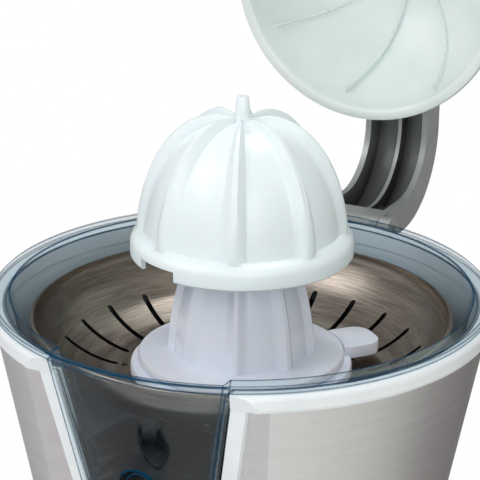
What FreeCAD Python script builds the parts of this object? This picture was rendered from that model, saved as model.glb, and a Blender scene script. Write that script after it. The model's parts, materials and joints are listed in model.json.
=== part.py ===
"""A lever citrus press: steel cone body, clear juice container, slotted sieve, two cones, press arm.

The frame has +Z up and its origin on the reamer axis in the plane of the foot ring. The window and
spout face -Y, the arm is hinged at +Y and stands raised, as the press waits for fruit.
"""

import FreeCAD, Part
import math
import os

import Sketcher

Vector = FreeCAD.Vector
Rotation = FreeCAD.Rotation
Placement = FreeCAD.Placement
X_AXIS = Vector(1, 0, 0)
Y_AXIS = Vector(0, 1, 0)
Z_AXIS = Vector(0, 0, 1)

doc = FreeCAD.newDocument("citrus_press")
sheet = doc.addObject("Spreadsheet::Sheet", "Sizes")

# Driving dimensions in millimetres and degrees
DIMENSIONS = {
    # heights of the whole press
    "lip_height": 236.0,
    "base_height": 70.0,
    "fit_gap": 0.3,
    # clear container
    "lip_radius": 95.0,
    "lip_thick": 3.0,
    "bowl_radius": 88.0,
    "bowl_wall": 2.0,
    "floor_drop": 52.0,
    "cone_slope": 0.205,
    "bay_half": 36.5,
    "bay_slope": 0.196,
    "bay_gap": 1.0,
    "chimney_radius": 10.5,
    "chimney_bore": 8.0,
    "spout_radius": 8.0,
    "spout_past": 13.0,
    # steel shell and the white trim round it
    "shell_radius": 94.0,
    "shell_thick": 0.8,
    "facet_share": 0.85,
    "bezel_radius": 96.5,
    "bezel_bore": 90.8,
    "bezel_height": 6.7,
    "frame_width": 6.0,
    "frame_thick": 3.0,
    "frame_drop": 64.0,
    "liner_wall": 1.6,
    # base
    "base_radius": 87.0,
    "base_wall": 3.0,
    "plate_thick": 3.0,
    "foot_height": 3.0,
    # sieve
    "sieve_radius": 80.6,
    "sieve_drop": 9.5,
    "sieve_thick": 0.8,
    "sieve_floor": 35.0,
    "slot_count": 24.0,
    "slot_width": 1.8,
    # cones
    "rib_count": 8.0,
    "rib_turn": 20.0,
    "wiper_radius": 42.5,
    "disc_radius": 39.5,
    "small_radius": 26.2,
    "small_height": 50.0,
    "large_radius": 37.3,
    "large_height": 46.0,
    "skirt_radius": 42.3,
    "skirt_height": 10.0,
    "stem_radius": 6.0,
    "cone_wall": 2.4,
    # arm, dome and hinge
    "pivot_depth": 101.5,
    "pivot_drop": 8.0,
    "pin_radius": 3.0,
    "arm_half": 14.0,
    "arm_wall": 2.5,
    "arm_depth": 13.0,
    "arm_rise": 48.0,
    "arm_raise": 92.0,
    "ear_thick": 5.0,
    "dome_radius": 58.0,
    "dome_depth": 47.0,
    "dome_wall": 2.5,
    "dome_rise": 1.5,
    # drive
    "spindle_radius": 5.0,
    "drive_radius": 4.2,
    "gear_drop": 102.0,
    "gear_width": 9.0,
    "plate_radius": 58.0,
    "tooth_module": 1.25,
    "motor_radius": 24.0,
    "motor_height": 52.0,
}


class Size:
    """A length that carries both its value and the sheet expression that gives it."""

    def __init__(self, text, value):
        self.text = text
        self.value = value

    @staticmethod
    def of(other):
        """Return a plain number as a Size, and a Size as it is."""
        if isinstance(other, Size):
            return other
        return Size(f"({other!r})", float(other))

    def _join(self, sign, other, value):
        return Size(f"({self.text} {sign} {other.text})", value)

    def __add__(self, other):
        other = Size.of(other)
        return self._join("+", other, self.value + other.value)

    def __sub__(self, other):
        other = Size.of(other)
        return self._join("-", other, self.value - other.value)

    def __mul__(self, other):
        other = Size.of(other)
        return self._join("*", other, self.value * other.value)

    def __truediv__(self, other):
        other = Size.of(other)
        return self._join("/", other, self.value / other.value)

    def __neg__(self):
        return Size(f"(0 - {self.text})", -self.value)

    def __rsub__(self, other):
        return Size.of(other) - self

    __radd__ = __add__
    __rmul__ = __mul__


def write_sheet():
    """Put every driving dimension into a cell of the sheet and return them as Sizes by name."""
    sizes = {}
    for row, (name, value) in enumerate(DIMENSIONS.items(), start=1):
        cell = f"B{row}"
        sheet.set(f"A{row}", name)
        sheet.set(cell, str(value))
        sheet.setAlias(cell, name)
        sizes[name] = Size(f"Sizes.{name}", value)
    doc.recompute()
    return sizes


D = write_sheet()
PARTS = []


def keep(feature, label):
    """Name a finished sub-part and list it for export."""
    feature.Label = label
    PARTS.append(feature)
    return feature


def bind(feature, **properties):
    """Set properties of a feature to Sizes through expressions."""
    for name, size in properties.items():
        feature.setExpression(name.replace("__", "."), Size.of(size).text)


def origin_plane(body, role):
    """Return the body's own origin plane with this role."""
    return next(item for item in body.Origin.OriginFeatures if item.Role == role)


def arc_between(start, end, radius):
    """Return the minor arc from start to end; a positive radius puts its centre left of the travel."""
    chord = end - start
    middle = (start + end) * 0.5
    left = Vector(-chord.y, chord.x, 0)
    left.normalize()
    reach = math.sqrt(max(radius * radius - chord.Length ** 2 / 4, 0.0))
    centre = middle + left * math.copysign(reach, radius)
    first = math.atan2(start.y - centre.y, start.x - centre.x)
    last = math.atan2(end.y - centre.y, end.x - centre.x)
    circle = Part.Circle(centre, Z_AXIS, abs(radius))
    if radius > 0:
        return Part.ArcOfCircle(circle, first, last), 1, 2
    return Part.ArcOfCircle(circle, last, first), 2, 1


def hold(sketch, segment, point, x, y):
    """Fix one vertex of a sketch at sizes from the sketch's origin."""
    for kind, size, axis in (("DistanceX", x, -2), ("DistanceY", y, -1)):
        if not isinstance(size, Size) and size == 0:
            sketch.addConstraint(Sketcher.Constraint("PointOnObject", segment, point, axis))
            continue
        size = Size.of(size)
        index = sketch.addConstraint(
            Sketcher.Constraint(kind, -1, 1, segment, point, size.value)
        )
        sketch.setExpression(f"Constraints[{index}]", size.text)


def outline(body, role, corners, arcs=None, offset=None):
    """Draw a closed outline on an origin plane; arcs maps a segment's number to its signed radius."""
    arcs = arcs or {}
    sketch = body.newObject("Sketcher::SketchObject", "Outline")
    sketch.AttachmentSupport = [(origin_plane(body, role), "")]
    sketch.MapMode = "FlatFace"
    if offset is not None:
        sketch.AttachmentOffset = offset
    points = [Vector(Size.of(x).value, Size.of(y).value, 0) for x, y in corners]
    ends = []
    for number, start in enumerate(points):
        end = points[(number + 1) % len(points)]
        if number in arcs:
            curve, first, last = arc_between(start, end, Size.of(arcs[number]).value)
        else:
            curve, first, last = Part.LineSegment(start, end), 1, 2
        ends.append((sketch.addGeometry(curve), first, last))
    for number, (segment, first, last) in enumerate(ends):
        nearest, begin, _ = ends[(number + 1) % len(ends)]
        sketch.addConstraint(Sketcher.Constraint("Coincident", segment, last, nearest, begin))
    for (segment, first, _), (x, y) in zip(ends, corners):
        hold(sketch, segment, first, x, y)
    for number, radius in arcs.items():
        size = Size.of(radius)
        index = sketch.addConstraint(
            Sketcher.Constraint("Radius", ends[number][0], abs(size.value))
        )
        if size.value > 0:
            sketch.setExpression(f"Constraints[{index}]", size.text)
        else:
            sketch.setExpression(f"Constraints[{index}]", (-size).text)
    return sketch


def bow(start, end, steps, turn=90):
    """Return the corners of a curve that leaves start level and has turned by this angle at end."""
    full = math.radians(turn)
    corners = []
    for number in range(steps + 1):
        angle = full * number / steps
        across = math.sin(angle) / math.sin(full)
        along = (1 - math.cos(angle)) / (1 - math.cos(full))
        x = Size.of(start[0]) + (Size.of(end[0]) - start[0]) * across
        y = Size.of(start[1]) + (Size.of(end[1]) - start[1]) * along
        corners.append((x, y))
    return corners


def new_body(name):
    """Add an empty body."""
    return doc.addObject("PartDesign::Body", name)


def turned(name, corners, arcs=None):
    """Revolve an outline of radius and height about the Z axis."""
    body = new_body(name)
    sketch = outline(body, "XZ_Plane", corners, arcs)
    turn = body.newObject("PartDesign::Revolution", "Turn")
    turn.Profile = sketch
    turn.ReferenceAxis = (sketch, ["V_Axis"])
    turn.Angle = 360
    return body


def prism(name, role, corners, length, arcs=None):
    """Pad an outline on an origin plane to both sides, length in all."""
    body = new_body(name)
    sketch = outline(body, role, corners, arcs)
    pad = body.newObject("PartDesign::Pad", "Pad")
    pad.Profile = sketch
    bind(pad, Length=length)
    pad.Midplane = True
    return body


def drum(name, radius, low, high, x=0, y=0):
    """Make a cylinder along Z between two heights."""
    item = doc.addObject("Part::Cylinder", name)
    low = Size.of(low)
    bind(item, Radius=radius, Height=Size.of(high) - low)
    bind(item, Placement__Base__x=x, Placement__Base__y=y, Placement__Base__z=low)
    return item


def rod(name, radius, half, y, z):
    """Make a cylinder along X, centred, at this depth and height."""
    item = doc.addObject("Part::Cylinder", name)
    item.Placement = Placement(Vector(0, 0, 0), Rotation(Y_AXIS, 90))
    half = Size.of(half)
    bind(item, Radius=radius, Height=half * 2)
    bind(item, Placement__Base__x=-half, Placement__Base__y=y, Placement__Base__z=z)
    return item


def block(name, x, y, z):
    """Make a box from three (low, high) pairs."""
    item = doc.addObject("Part::Box", name)
    spans = [(Size.of(low), Size.of(high)) for low, high in (x, y, z)]
    for side, axis, (low, high) in zip(("Length", "Width", "Height"), "xyz", spans):
        bind(item, **{side: high - low, f"Placement__Base__{axis}": low})
    return item


def cut(name, base, *tools):
    """Take tools from a base."""
    tool = tools[0] if len(tools) == 1 else fuse(f"{name}_tools", *tools)
    item = doc.addObject("Part::Cut", name)
    item.Base = base
    item.Tool = tool
    return item


def fuse(name, *shapes):
    """Join shapes into one solid."""
    item = doc.addObject("Part::MultiFuse", name)
    item.Shapes = list(shapes)
    item.Refine = True
    return item


def common(name, *shapes):
    """Keep what two or more shapes share."""
    item = doc.addObject("Part::MultiCommon", name)
    item.Shapes = list(shapes)
    return item


def turned_copy(name, source, placement):
    """Return a linked copy of a shape at another place."""
    item = doc.addObject("Part::Feature", name)
    doc.recompute()
    item.Shape = source.Shape.copy()
    item.Placement = placement.multiply(source.Shape.Placement)
    return item


def ring_of(name, source, count, start=0.0):
    """Repeat a shape about the Z axis as a group of solids."""
    doc.recompute()
    step = 360.0 / count
    copies = []
    for number in range(count):
        copy = source.Shape.copy()
        copy.rotate(Vector(0, 0, 0), Z_AXIS, start + number * step)
        copies.append(copy)
    item = doc.addObject("Part::Feature", name)
    item.Shape = Part.Compound(copies)
    return item


LIP = D["lip_height"]
GAP = D["fit_gap"]
FLOOR = LIP - D["floor_drop"]
FLOOR_UNDER = FLOOR - D["bowl_wall"]
SHELL_TOP = LIP - D["lip_thick"] - GAP - D["bezel_height"]
SHELL_FOOT = D["base_height"]


def shell_radius(height, inset=0):
    """Return the steel cone's radius at a height, less an inset."""
    return D["shell_radius"] - (SHELL_TOP - height) * D["cone_slope"] - inset


def faceted_cone(name, low, high, inset):
    """Make the body's cone between two heights, with its flat front, inset from the steel's outside."""
    cone = doc.addObject("Part::Cone", f"{name}_cone")
    bottom = shell_radius(low, inset)
    top = shell_radius(high, inset)
    bind(cone, Radius1=bottom, Radius2=top, Height=high - low, Placement__Base__z=low)
    share = D["facet_share"]
    beyond = D["shell_radius"] * 1.5
    front = prism(
        f"{name}_front",
        "YZ_Plane",
        [
            (-(shell_radius(low) * share - inset), low),
            (-(shell_radius(high) * share - inset), high),
            (-beyond, high),
            (-beyond, low),
        ],
        beyond * 2,
    )
    return cut(name, cone, front)


def bay_prism(name, margin, low, high):
    """Make the wedge that bounds the window bay's width, grown by a margin at each side."""
    narrow = D["bay_half"] - (LIP - low) * D["bay_slope"] + margin
    wide = D["bay_half"] - (LIP - high) * D["bay_slope"] + margin
    body = new_body(name)
    sketch = outline(
        body, "XZ_Plane", [(-narrow, low), (narrow, low), (wide, high), (-wide, high)]
    )
    pad = body.newObject("PartDesign::Pad", "Pad")
    pad.Profile = sketch
    bind(pad, Length=D["lip_radius"] * 1.5)
    return body


# Base: flared foot, cover plate, foot ring and screws
base_foot = D["foot_height"]
base_low = base_foot + D["plate_thick"]
neck = shell_radius(SHELL_FOOT)
base_outside = turned(
    "base_outside",
    [
        (0, base_foot),
        (D["base_radius"], base_foot),
        *bow((D["base_radius"], base_foot + 8), (neck, SHELL_FOOT), 5, 80),
        (0, SHELL_FOOT),
    ],
)
base_inside = turned(
    "base_inside",
    [
        (0, 0),
        (D["base_radius"] - D["base_wall"], 0),
        *bow(
            (D["base_radius"] - D["base_wall"], base_foot + 5),
            (neck - D["base_wall"], SHELL_FOOT - D["base_wall"]),
            5,
            80,
        ),
        (0, SHELL_FOOT - D["base_wall"]),
    ],
)
base_mouth = drum("base_mouth", neck - 14, 0, SHELL_FOOT + 1)
base_shell = cut("base_shell", base_outside, base_inside, base_mouth)
boss_ring = D["base_radius"] - 20
boss_radius = 4.5
screw_radius = 1.9
boss = drum("boss", boss_radius, base_low, 30, boss_ring, 0)
boss_hole = drum("boss_hole", screw_radius + 0.1, base_low - 1, 24, boss_ring, 0)
bosses = ring_of("bosses", boss, 4, 45)
boss_web = block("boss_web", (boss_ring + 3.5, D["base_radius"] - 2.0), (-1.5, 1.5), (base_low + 2, 13))
webs = ring_of("webs", boss_web, 4, 45)
gland_level = 17
gland_radius = 6.5
gland_hole = doc.addObject("Part::Cylinder", "gland_hole")
gland_hole.Placement = Placement(Vector(0, 60, gland_level), Rotation(X_AXIS, -90))
gland_hole.Radius = gland_radius
gland_hole.Height = 40
screw_holes = ring_of("screw_holes", boss_hole, 4, 45)
base = keep(cut("base", fuse("base_bossed", base_shell, bosses, webs), gland_hole, screw_holes), "base")

plate_blank = drum("plate_blank", D["base_radius"] - D["base_wall"] - GAP, base_foot, base_low - 0.05)
plate_hole = drum("plate_hole", screw_radius + 0.3, 0, 10, boss_ring, 0)
plate_holes = ring_of("plate_holes", plate_hole, 4, 45)
keep(cut("base_plate", plate_blank, plate_holes), "base_plate")

foot_outer = drum("foot_outer", D["base_radius"] - 6, 0, base_foot)
foot_inner = drum("foot_inner", D["base_radius"] - 13, -1, base_foot + 1)
keep(cut("foot_ring", foot_outer, foot_inner), "foot_ring")

screw_head = drum("screw_head", 3.6, base_foot - 2.2, base_foot, boss_ring, 0)
screw_shank = drum("screw_shank", screw_radius, base_foot - 0.5, 20, boss_ring, 0)
keep(ring_of("base_screws", fuse("base_screw", screw_head, screw_shank), 4, 45), "base_screws")

cord_radius = 3.2
gland_flare = 8.5
gland_near = 68
gland_far = 92
gland_profile = new_body("gland")
gland_sketch = outline(
    gland_profile,
    "YZ_Plane",
    [
        (gland_near, cord_radius),
        (gland_far, cord_radius),
        (gland_far, cord_radius + 2),
        (gland_far - 6, gland_flare),
        (gland_near, gland_flare),
    ],
)
gland_turn = gland_profile.newObject("PartDesign::Revolution", "Turn")
gland_turn.Profile = gland_sketch
gland_turn.ReferenceAxis = (gland_sketch, ["H_Axis"])
gland_turn.Angle = 360
gland_profile.Placement = Placement(Vector(0, 0, gland_level), Rotation())
keep(cut("gland_fitted", gland_profile, base), "cord_gland")

# Steel shell and the liner inside it, both open for the window bay at the front
window_low = LIP - D["frame_drop"] + D["frame_width"]
hinge_level = LIP - D["pivot_drop"]
bracket_low = LIP - 47
bracket_hole_z = LIP - 36
bracket_hole_x = 11.0
bolt_radius = 2.0


def bracket_drill(name, radius, near, far):
    """Make the pair of level holes behind the hinge bracket."""
    holes = []
    for side in (-1, 1):
        hole = doc.addObject("Part::Cylinder", f"{name}_{'left' if side < 0 else 'right'}")
        hole.Placement = Placement(Vector(0, 0, 0), Rotation(X_AXIS, -90))
        bind(hole, Radius=radius, Height=far - near)
        bind(
            hole,
            Placement__Base__x=bracket_hole_x * side,
            Placement__Base__y=near,
            Placement__Base__z=bracket_hole_z,
        )
        holes.append(hole)
    return holes


shell_outside = faceted_cone("shell_outside", SHELL_FOOT, SHELL_TOP, 0)
shell_inside = faceted_cone("shell_inside", SHELL_FOOT - 1, SHELL_TOP + 1, D["shell_thick"])
shell_window = bay_prism("shell_window", D["bay_gap"], window_low, LIP + 5)
shell_drill = bracket_drill("shell_drill", bolt_radius + 0.15, 70, 100)
keep(cut("steel_shell", shell_outside, shell_inside, shell_window, *shell_drill), "steel_shell")

liner_inset = D["shell_thick"] + 0.2
liner_low = SHELL_FOOT + 0.2
liner_outside = faceted_cone("liner_outside", liner_low, SHELL_TOP, liner_inset)
deck_top = FLOOR_UNDER - GAP
deck_thick = 3.0
liner_upper = faceted_cone("liner_upper", deck_top, SHELL_TOP + 1, liner_inset + D["liner_wall"])
liner_lower = faceted_cone("liner_lower", liner_low - 1, deck_top - deck_thick, liner_inset + D["liner_wall"])
deck_hole = drum("deck_hole", 14, deck_top - 10, deck_top + 10)
liner_window = bay_prism("liner_window", D["bay_gap"], window_low, LIP + 5)
liner_drill = bracket_drill("liner_drill", bolt_radius + 0.15, 70, 100)
keep(
    cut("inner_housing", liner_outside, liner_upper, liner_lower, deck_hole, liner_window, *liner_drill),
    "inner_housing",
)

# White bezel: top ring and the frame round the window, one moulding
bezel_top = SHELL_TOP + D["bezel_height"]
ring_outside = turned(
    "ring_outside",
    [
        (D["bezel_bore"], SHELL_TOP),
        (D["bezel_radius"] - 1.2, SHELL_TOP),
        (D["bezel_radius"], SHELL_TOP + 1.5),
        (D["bezel_radius"], bezel_top - 2),
        (D["bezel_radius"] - 2, bezel_top),
        (D["bezel_bore"], bezel_top),
    ],
    {1: 3, 3: 2},
)
facet_top = shell_radius(SHELL_TOP) * D["facet_share"]
ring_front = prism(
    "ring_front",
    "YZ_Plane",
    [
        (-(facet_top + 7), bezel_top + 0.5),
        (-(facet_top + D["frame_thick"]), SHELL_TOP - 1),
        (-(facet_top + 60), SHELL_TOP - 1),
        (-(facet_top + 60), bezel_top + 0.5),
    ],
    240,
)
hinge_face = D["pivot_depth"] - 7.2
ring_back = block("ring_back", (-26, 26), (hinge_face, 120), (SHELL_TOP - 1, bezel_top + 1))
ring_cut = cut("ring_cut", ring_outside, ring_front, ring_back)
frame_outer = bay_prism("frame_outer", D["bay_gap"] + D["frame_width"], LIP - D["frame_drop"], SHELL_TOP + 1)
frame_facet = prism(
    "frame_facet",
    "YZ_Plane",
    [
        (-(shell_radius(SHELL_FOOT) * D["facet_share"]), SHELL_FOOT),
        (-facet_top, SHELL_TOP),
        (-(facet_top + D["frame_thick"]), SHELL_TOP),
        (-(shell_radius(SHELL_FOOT) * D["facet_share"] + D["frame_thick"]), SHELL_FOOT),
    ],
    200,
)
frame_blank = common("frame_blank", frame_outer, frame_facet)
bezel_window = bay_prism("bezel_window", D["bay_gap"], window_low, LIP + 5)
keep(cut("top_bezel", fuse("bezel_blank", ring_cut, frame_blank), bezel_window), "top_bezel")

# Clear container: bowl, front bay, lip, chimney and spout
wall = D["bowl_wall"]


def bowl_radius(height):
    """Return the bowl's inner radius at a height."""
    return D["bowl_radius"] - (LIP - height) * D["cone_slope"]


bowl_outside = turned(
    "bowl_outside",
    [
        (0, FLOOR_UNDER),
        (bowl_radius(FLOOR_UNDER) + wall - 4, FLOOR_UNDER),
        (bowl_radius(FLOOR_UNDER) + wall, FLOOR_UNDER + 4),
        (bowl_radius(LIP) + wall - D["lip_thick"] * D["cone_slope"], LIP - D["lip_thick"]),
        (D["lip_radius"] - 0.5, LIP - D["lip_thick"]),
        (D["lip_radius"], LIP - D["lip_thick"] + 0.5),
        (D["lip_radius"], LIP - 0.8),
        (D["lip_radius"] - 0.8, LIP),
        (0, LIP),
    ],
)
bowl_inside = turned(
    "bowl_inside",
    [
        (0, FLOOR),
        (bowl_radius(FLOOR) - 4, FLOOR),
        (bowl_radius(FLOOR), FLOOR + 4),
        (bowl_radius(LIP + 1), LIP + 1),
        (0, LIP + 1),
    ],
)


def flat_front(name, inset):
    """Make the space before the container's flat, which stays behind the body's flat front."""
    share = D["facet_share"]
    beyond = D["lip_radius"] * 1.5
    return prism(
        name,
        "YZ_Plane",
        [
            (-(shell_radius(SHELL_FOOT) * share - inset), SHELL_FOOT),
            (-(facet_top - inset), SHELL_TOP),
            (-(facet_top - inset), SHELL_TOP + 2),
            (-beyond, SHELL_TOP + 2),
            (-beyond, SHELL_FOOT),
        ],
        beyond * 2,
    )


def bay_solid(name, inset, low, high):
    """Make the front bay's block: the rim's cone between the window's two sides."""
    cone = doc.addObject("Part::Cone", f"{name}_cone")
    bottom = D["lip_radius"] - (LIP - low) * D["cone_slope"] - inset
    top = D["lip_radius"] - (LIP - high) * D["cone_slope"] - inset
    bind(cone, Radius1=bottom, Radius2=top, Height=high - low, Placement__Base__z=low)
    return common(name, cone, bay_prism(f"{name}_sides", -Size.of(inset), low, high))


bay_outside = bay_solid("bay_outside", 0, FLOOR_UNDER, LIP)
bay_inside = bay_solid("bay_inside", wall, FLOOR, LIP + 1)
flat_inset = liner_inset + D["liner_wall"] + 0.4
bowl_flat = cut("bowl_flat", bowl_outside, flat_front("flat_outside", flat_inset))
bowl_flat_room = cut("bowl_flat_room", bowl_inside, flat_front("flat_inside", flat_inset + wall))
lip_back = block("lip_back", (-26, 26), (hinge_face - 0.2, 120), (LIP - 10, LIP + 1))
chimney_step = LIP - D["sieve_floor"] - D["sieve_thick"] - GAP
chimney_top = LIP - D["sieve_floor"] + 4
chimney = turned(
    "chimney",
    [
        (D["chimney_bore"], FLOOR),
        (D["chimney_radius"] + 5, FLOOR),
        (D["chimney_radius"] + 2.5, chimney_step),
        (D["chimney_radius"], chimney_step),
        (D["chimney_radius"], chimney_top),
        (D["chimney_bore"], chimney_top),
    ],
)
spout_level = FLOOR_UNDER + D["spout_radius"]
spout_root = 72
spout_reach = D["lip_radius"] + D["spout_past"]


def spout_tube(name, radius, near, far):
    """Make a tube along -Y, sloping down a little towards the glass."""
    tube = doc.addObject("Part::Cylinder", name)
    tube.Placement = Placement(Vector(0, 0, 0), Rotation(X_AXIS, 98))
    bind(tube, Radius=radius, Height=far - near)
    bind(tube, Placement__Base__y=-Size.of(near), Placement__Base__z=spout_level)
    return tube


spout_outer = spout_tube("spout_outer", D["spout_radius"], spout_root, spout_reach)
spout_bore = spout_tube("spout_bore", D["spout_radius"] - wall, spout_root - 6, spout_reach + 5)
flap_drop = (spout_reach - spout_root) * math.tan(math.radians(8))
mouth_z = spout_level - flap_drop
flap_y = spout_reach - 2.5
flap_z = mouth_z + D["spout_radius"] + 3.6
flap_pin = 1.0
knuckle_radius = 2.4
knuckle_half = 4.0
lug_half = knuckle_half + GAP + 2.0
lug_bar = rod("lug_bar", knuckle_radius, lug_half, -flap_y, flap_z)
lug_foot = block(
    "lug_foot",
    (-lug_half, lug_half),
    (-(flap_y + knuckle_radius), -(flap_y - knuckle_radius)),
    (mouth_z + D["spout_radius"] - 2.5, flap_z),
)
lug_gap = block(
    "lug_gap",
    (-(knuckle_half + GAP), knuckle_half + GAP),
    (-(flap_y + 8), -(flap_y - 8)),
    (flap_z - knuckle_radius - GAP, flap_z + 8),
)
lug_bore = rod("lug_bore", flap_pin, lug_half + 1, -flap_y, flap_z)
lugs = cut("lugs", fuse("lug_blank", lug_bar, lug_foot), lug_gap, lug_bore)
bowl_blank = fuse("bowl_blank", bowl_flat, bay_outside, spout_outer, lugs)
bowl_hollow = cut("bowl_hollow", bowl_blank, bowl_flat_room, bay_inside, lip_back)
bowl_bore = drum("bowl_bore", D["chimney_bore"], FLOOR_UNDER - 1, FLOOR + 1)
keep(
    cut("juice_container", fuse("bowl_towered", bowl_hollow, chimney), bowl_bore, spout_bore),
    "juice_container",
)

# Drip flap: a plate hung before the spout's mouth on a pin between the container's two lugs
keep(rod("flap_pin", flap_pin, lug_half, -flap_y, flap_z), "drip_pin")
flap_face = spout_reach + 1.4
flap_plate = prism(
    "flap_plate",
    "YZ_Plane",
    [
        (-flap_face, mouth_z - D["spout_radius"] - 0.5),
        (-flap_face, flap_z - knuckle_radius),
        (-flap_y, flap_z),
        (-flap_y, flap_z + knuckle_radius),
        (-(flap_face + 2), flap_z + knuckle_radius),
        (-(flap_face + 2), mouth_z - D["spout_radius"] - 0.5),
    ],
    (knuckle_half - 0.2) * 2,
)
flap_disc = doc.addObject("Part::Cylinder", "flap_disc")
flap_disc.Placement = Placement(Vector(0, 0, 0), Rotation(X_AXIS, 90))
bind(flap_disc, Radius=D["spout_radius"] + 0.5, Height=2.0)
bind(flap_disc, Placement__Base__y=-flap_face, Placement__Base__z=mouth_z)
flap_knuckle = rod("flap_knuckle", knuckle_radius, knuckle_half, -flap_y, flap_z)
flap_bore = rod("flap_bore", flap_pin + 0.06, knuckle_half + 1, -flap_y, flap_z)
flap_blank = fuse("flap_blank", flap_plate, flap_disc, flap_knuckle)
keep(cut("flap_done", flap_blank, flap_bore), "drip_flap")

# Sieve: a bowl with a rolled rim and two rows of slots
sieve_rim = LIP - D["sieve_drop"]
sieve_floor = LIP - D["sieve_floor"]
sieve_flat = D["wiper_radius"] + 1.5
skin = D["sieve_thick"]
sieve_blank = turned(
    "sieve_blank",
    [
        (D["chimney_radius"] + GAP, sieve_floor - skin),
        *bow((sieve_flat, sieve_floor - skin), (D["sieve_radius"] - 1.2, sieve_rim - 2.6), 4, 65),
        (D["sieve_radius"], sieve_rim - 2.2),
        (D["sieve_radius"], sieve_rim),
        (D["sieve_radius"] - 1.4, sieve_rim),
        *reversed(bow((sieve_flat, sieve_floor), (D["sieve_radius"] - 1.6, sieve_rim - 2.2), 4, 65)),
        (D["chimney_radius"] + GAP, sieve_floor),
    ],
)
slot_half = D["slot_width"] / 2


def slot_cutter(name, near, far):
    """Make a slot along X between two radii, through the whole sieve."""
    body = new_body(name)
    near = Size.of(near)
    far = Size.of(far)
    sketch = outline(
        body,
        "XY_Plane",
        [(near, -slot_half), (far, -slot_half), (far, slot_half), (near, slot_half)],
    )
    pad = body.newObject("PartDesign::Pad", "Pad")
    pad.Profile = sketch
    bind(pad, Length=LIP)
    return body


slot_number = int(D["slot_count"].value)
long_slots = ring_of("long_slots", slot_cutter("long_slot", 50, 67.5), slot_number)
short_slots = ring_of("short_slots", slot_cutter("short_slot", 45, 48), slot_number)
keep(cut("sieve", sieve_blank, long_slots, short_slots), "sieve")

# Pulp wiper: a ring with one wing that sweeps the sieve
wiper_low = sieve_floor + 1.8
wiper_top = sieve_floor + 6.4
drive_gap = 0.15
wiper_ring = turned(
    "wiper_ring",
    [
        (D["chimney_radius"] + 1, wiper_low + 0.7),
        (D["wiper_radius"] - 3, wiper_low + 0.7),
        (D["wiper_radius"] - 3, wiper_low),
        (D["wiper_radius"] - 0.8, wiper_low),
        (D["wiper_radius"], wiper_low + 0.8),
        (D["wiper_radius"], wiper_top - 1.5),
        (D["wiper_radius"] - 1.5, wiper_top),
        (0, wiper_top),
        (0, chimney_top + 0.6),
        (D["chimney_radius"] + 1, chimney_top + 0.6),
    ],
)
wing_level = wiper_top + 3.5
wing_body = new_body("wing")
wing_sketch = outline(
    wing_body,
    "XY_Plane",
    [(38, -11), (53, -5), (53.5, -3), (50, 4), (38, 6)],
    offset=Placement(Vector(0, 0, wiper_low.value + 3.2), Rotation()),
)
wing_pad = wing_body.newObject("PartDesign::Pad", "Pad")
wing_pad.Profile = wing_sketch
bind(wing_pad, Length=wing_level - wiper_low - 3.2)
wing_turn = 49
wing_room = drum("wing_room", D["disc_radius"] + 0.4, wiper_top - 0.01, LIP)
wing_place = Placement(Vector(0, 0, 0), Rotation(Z_AXIS, wing_turn))
wing = cut("wing_trimmed", turned_copy("wing_turned", wing_body, wing_place), wing_room)
drive_hole = doc.addObject("Part::Prism", "drive_hole")
drive_hole.Polygon = 6
bind(drive_hole, Circumradius=D["drive_radius"] + drive_gap, Height=40, Placement__Base__z=sieve_floor)
keep(cut("pulp_wiper", fuse("wiper_winged", wiper_ring, wing), drive_hole), "pulp_wiper")


def rib_section(body, corners, turn):
    """Draw a rib's outline on the XZ plane turned about the axis."""
    return outline(body, "XZ_Plane", corners, offset=Placement(Vector(0, 0, 0), Rotation(Y_AXIS, turn)))


def ribbed_cone(name, panel, foot, crest, spread):
    """Revolve a cone's panels and loft sharp ribs on it, each from foot to crest to foot."""
    body = new_body(name)
    sketch = outline(body, "XZ_Plane", panel)
    turn = body.newObject("PartDesign::Revolution", "Panels")
    turn.Profile = sketch
    turn.ReferenceAxis = (sketch, ["V_Axis"])
    turn.Angle = 360
    start = D["rib_turn"].value
    sections = [
        rib_section(body, foot, start - spread),
        rib_section(body, crest, start),
        rib_section(body, foot, start + spread),
    ]
    rib = body.newObject("PartDesign::AdditiveLoft", "Rib")
    rib.Profile = sections[0]
    rib.Sections = sections[1:]
    rib.Ruled = True
    pattern = body.newObject("PartDesign::PolarPattern", "Ribs")
    pattern.Originals = [rib]
    pattern.Axis = (origin_axis(body), "")
    pattern.Angle = 360
    bind(pattern, Occurrences=D["rib_count"])
    body.Tip = pattern
    return body


def origin_axis(body):
    """Return the body's own Z axis."""
    return next(item for item in body.Origin.OriginFeatures if item.Role == "Z_Axis")


# Small cone: disc, ribbed cone, drive socket and guide bore
disc_low = wiper_top + GAP
disc_top = LIP - 24.5
small_low = disc_top - 0.5
small_top = disc_top + D["small_height"]
small_knee = disc_top + D["small_height"] * 0.62
small_side = D["small_radius"] - 2.6
small_panel = ribbed_cone(
    "small_ribs",
    [
        (0, disc_low),
        (D["disc_radius"] - 0.8, disc_low),
        (D["disc_radius"], disc_low + 0.8),
        (D["disc_radius"], disc_top - 1.2),
        (D["disc_radius"] - 1.6, disc_top),
        (D["small_radius"], disc_top + 0.4),
        *reversed(bow((3, small_top), (small_side, small_knee), 5, 82)),
        (0, small_top),
    ],
    [
        (3, small_low),
        (D["small_radius"] - 0.1, small_low),
        *reversed(bow((3.6, small_top - 0.8), (small_side - 0.3, small_knee), 5, 82)),
        (3, small_top - 0.9),
    ],
    [
        (3, small_low),
        (D["small_radius"] + 2.8, small_low),
        *reversed(bow((7, small_top + 1), (small_side + 2.6, small_knee), 5, 82)),
        (3, small_top - 0.9),
    ],
    10,
)
hub_radius = 9.0
small_hollow = turned(
    "small_hollow",
    [
        (hub_radius, disc_low - 1),
        (D["small_radius"] - D["cone_wall"] - 1, disc_low - 1),
        *reversed(bow((hub_radius, small_top - 7), (small_side - D["cone_wall"], small_knee - 2), 4)),
    ],
)
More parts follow.
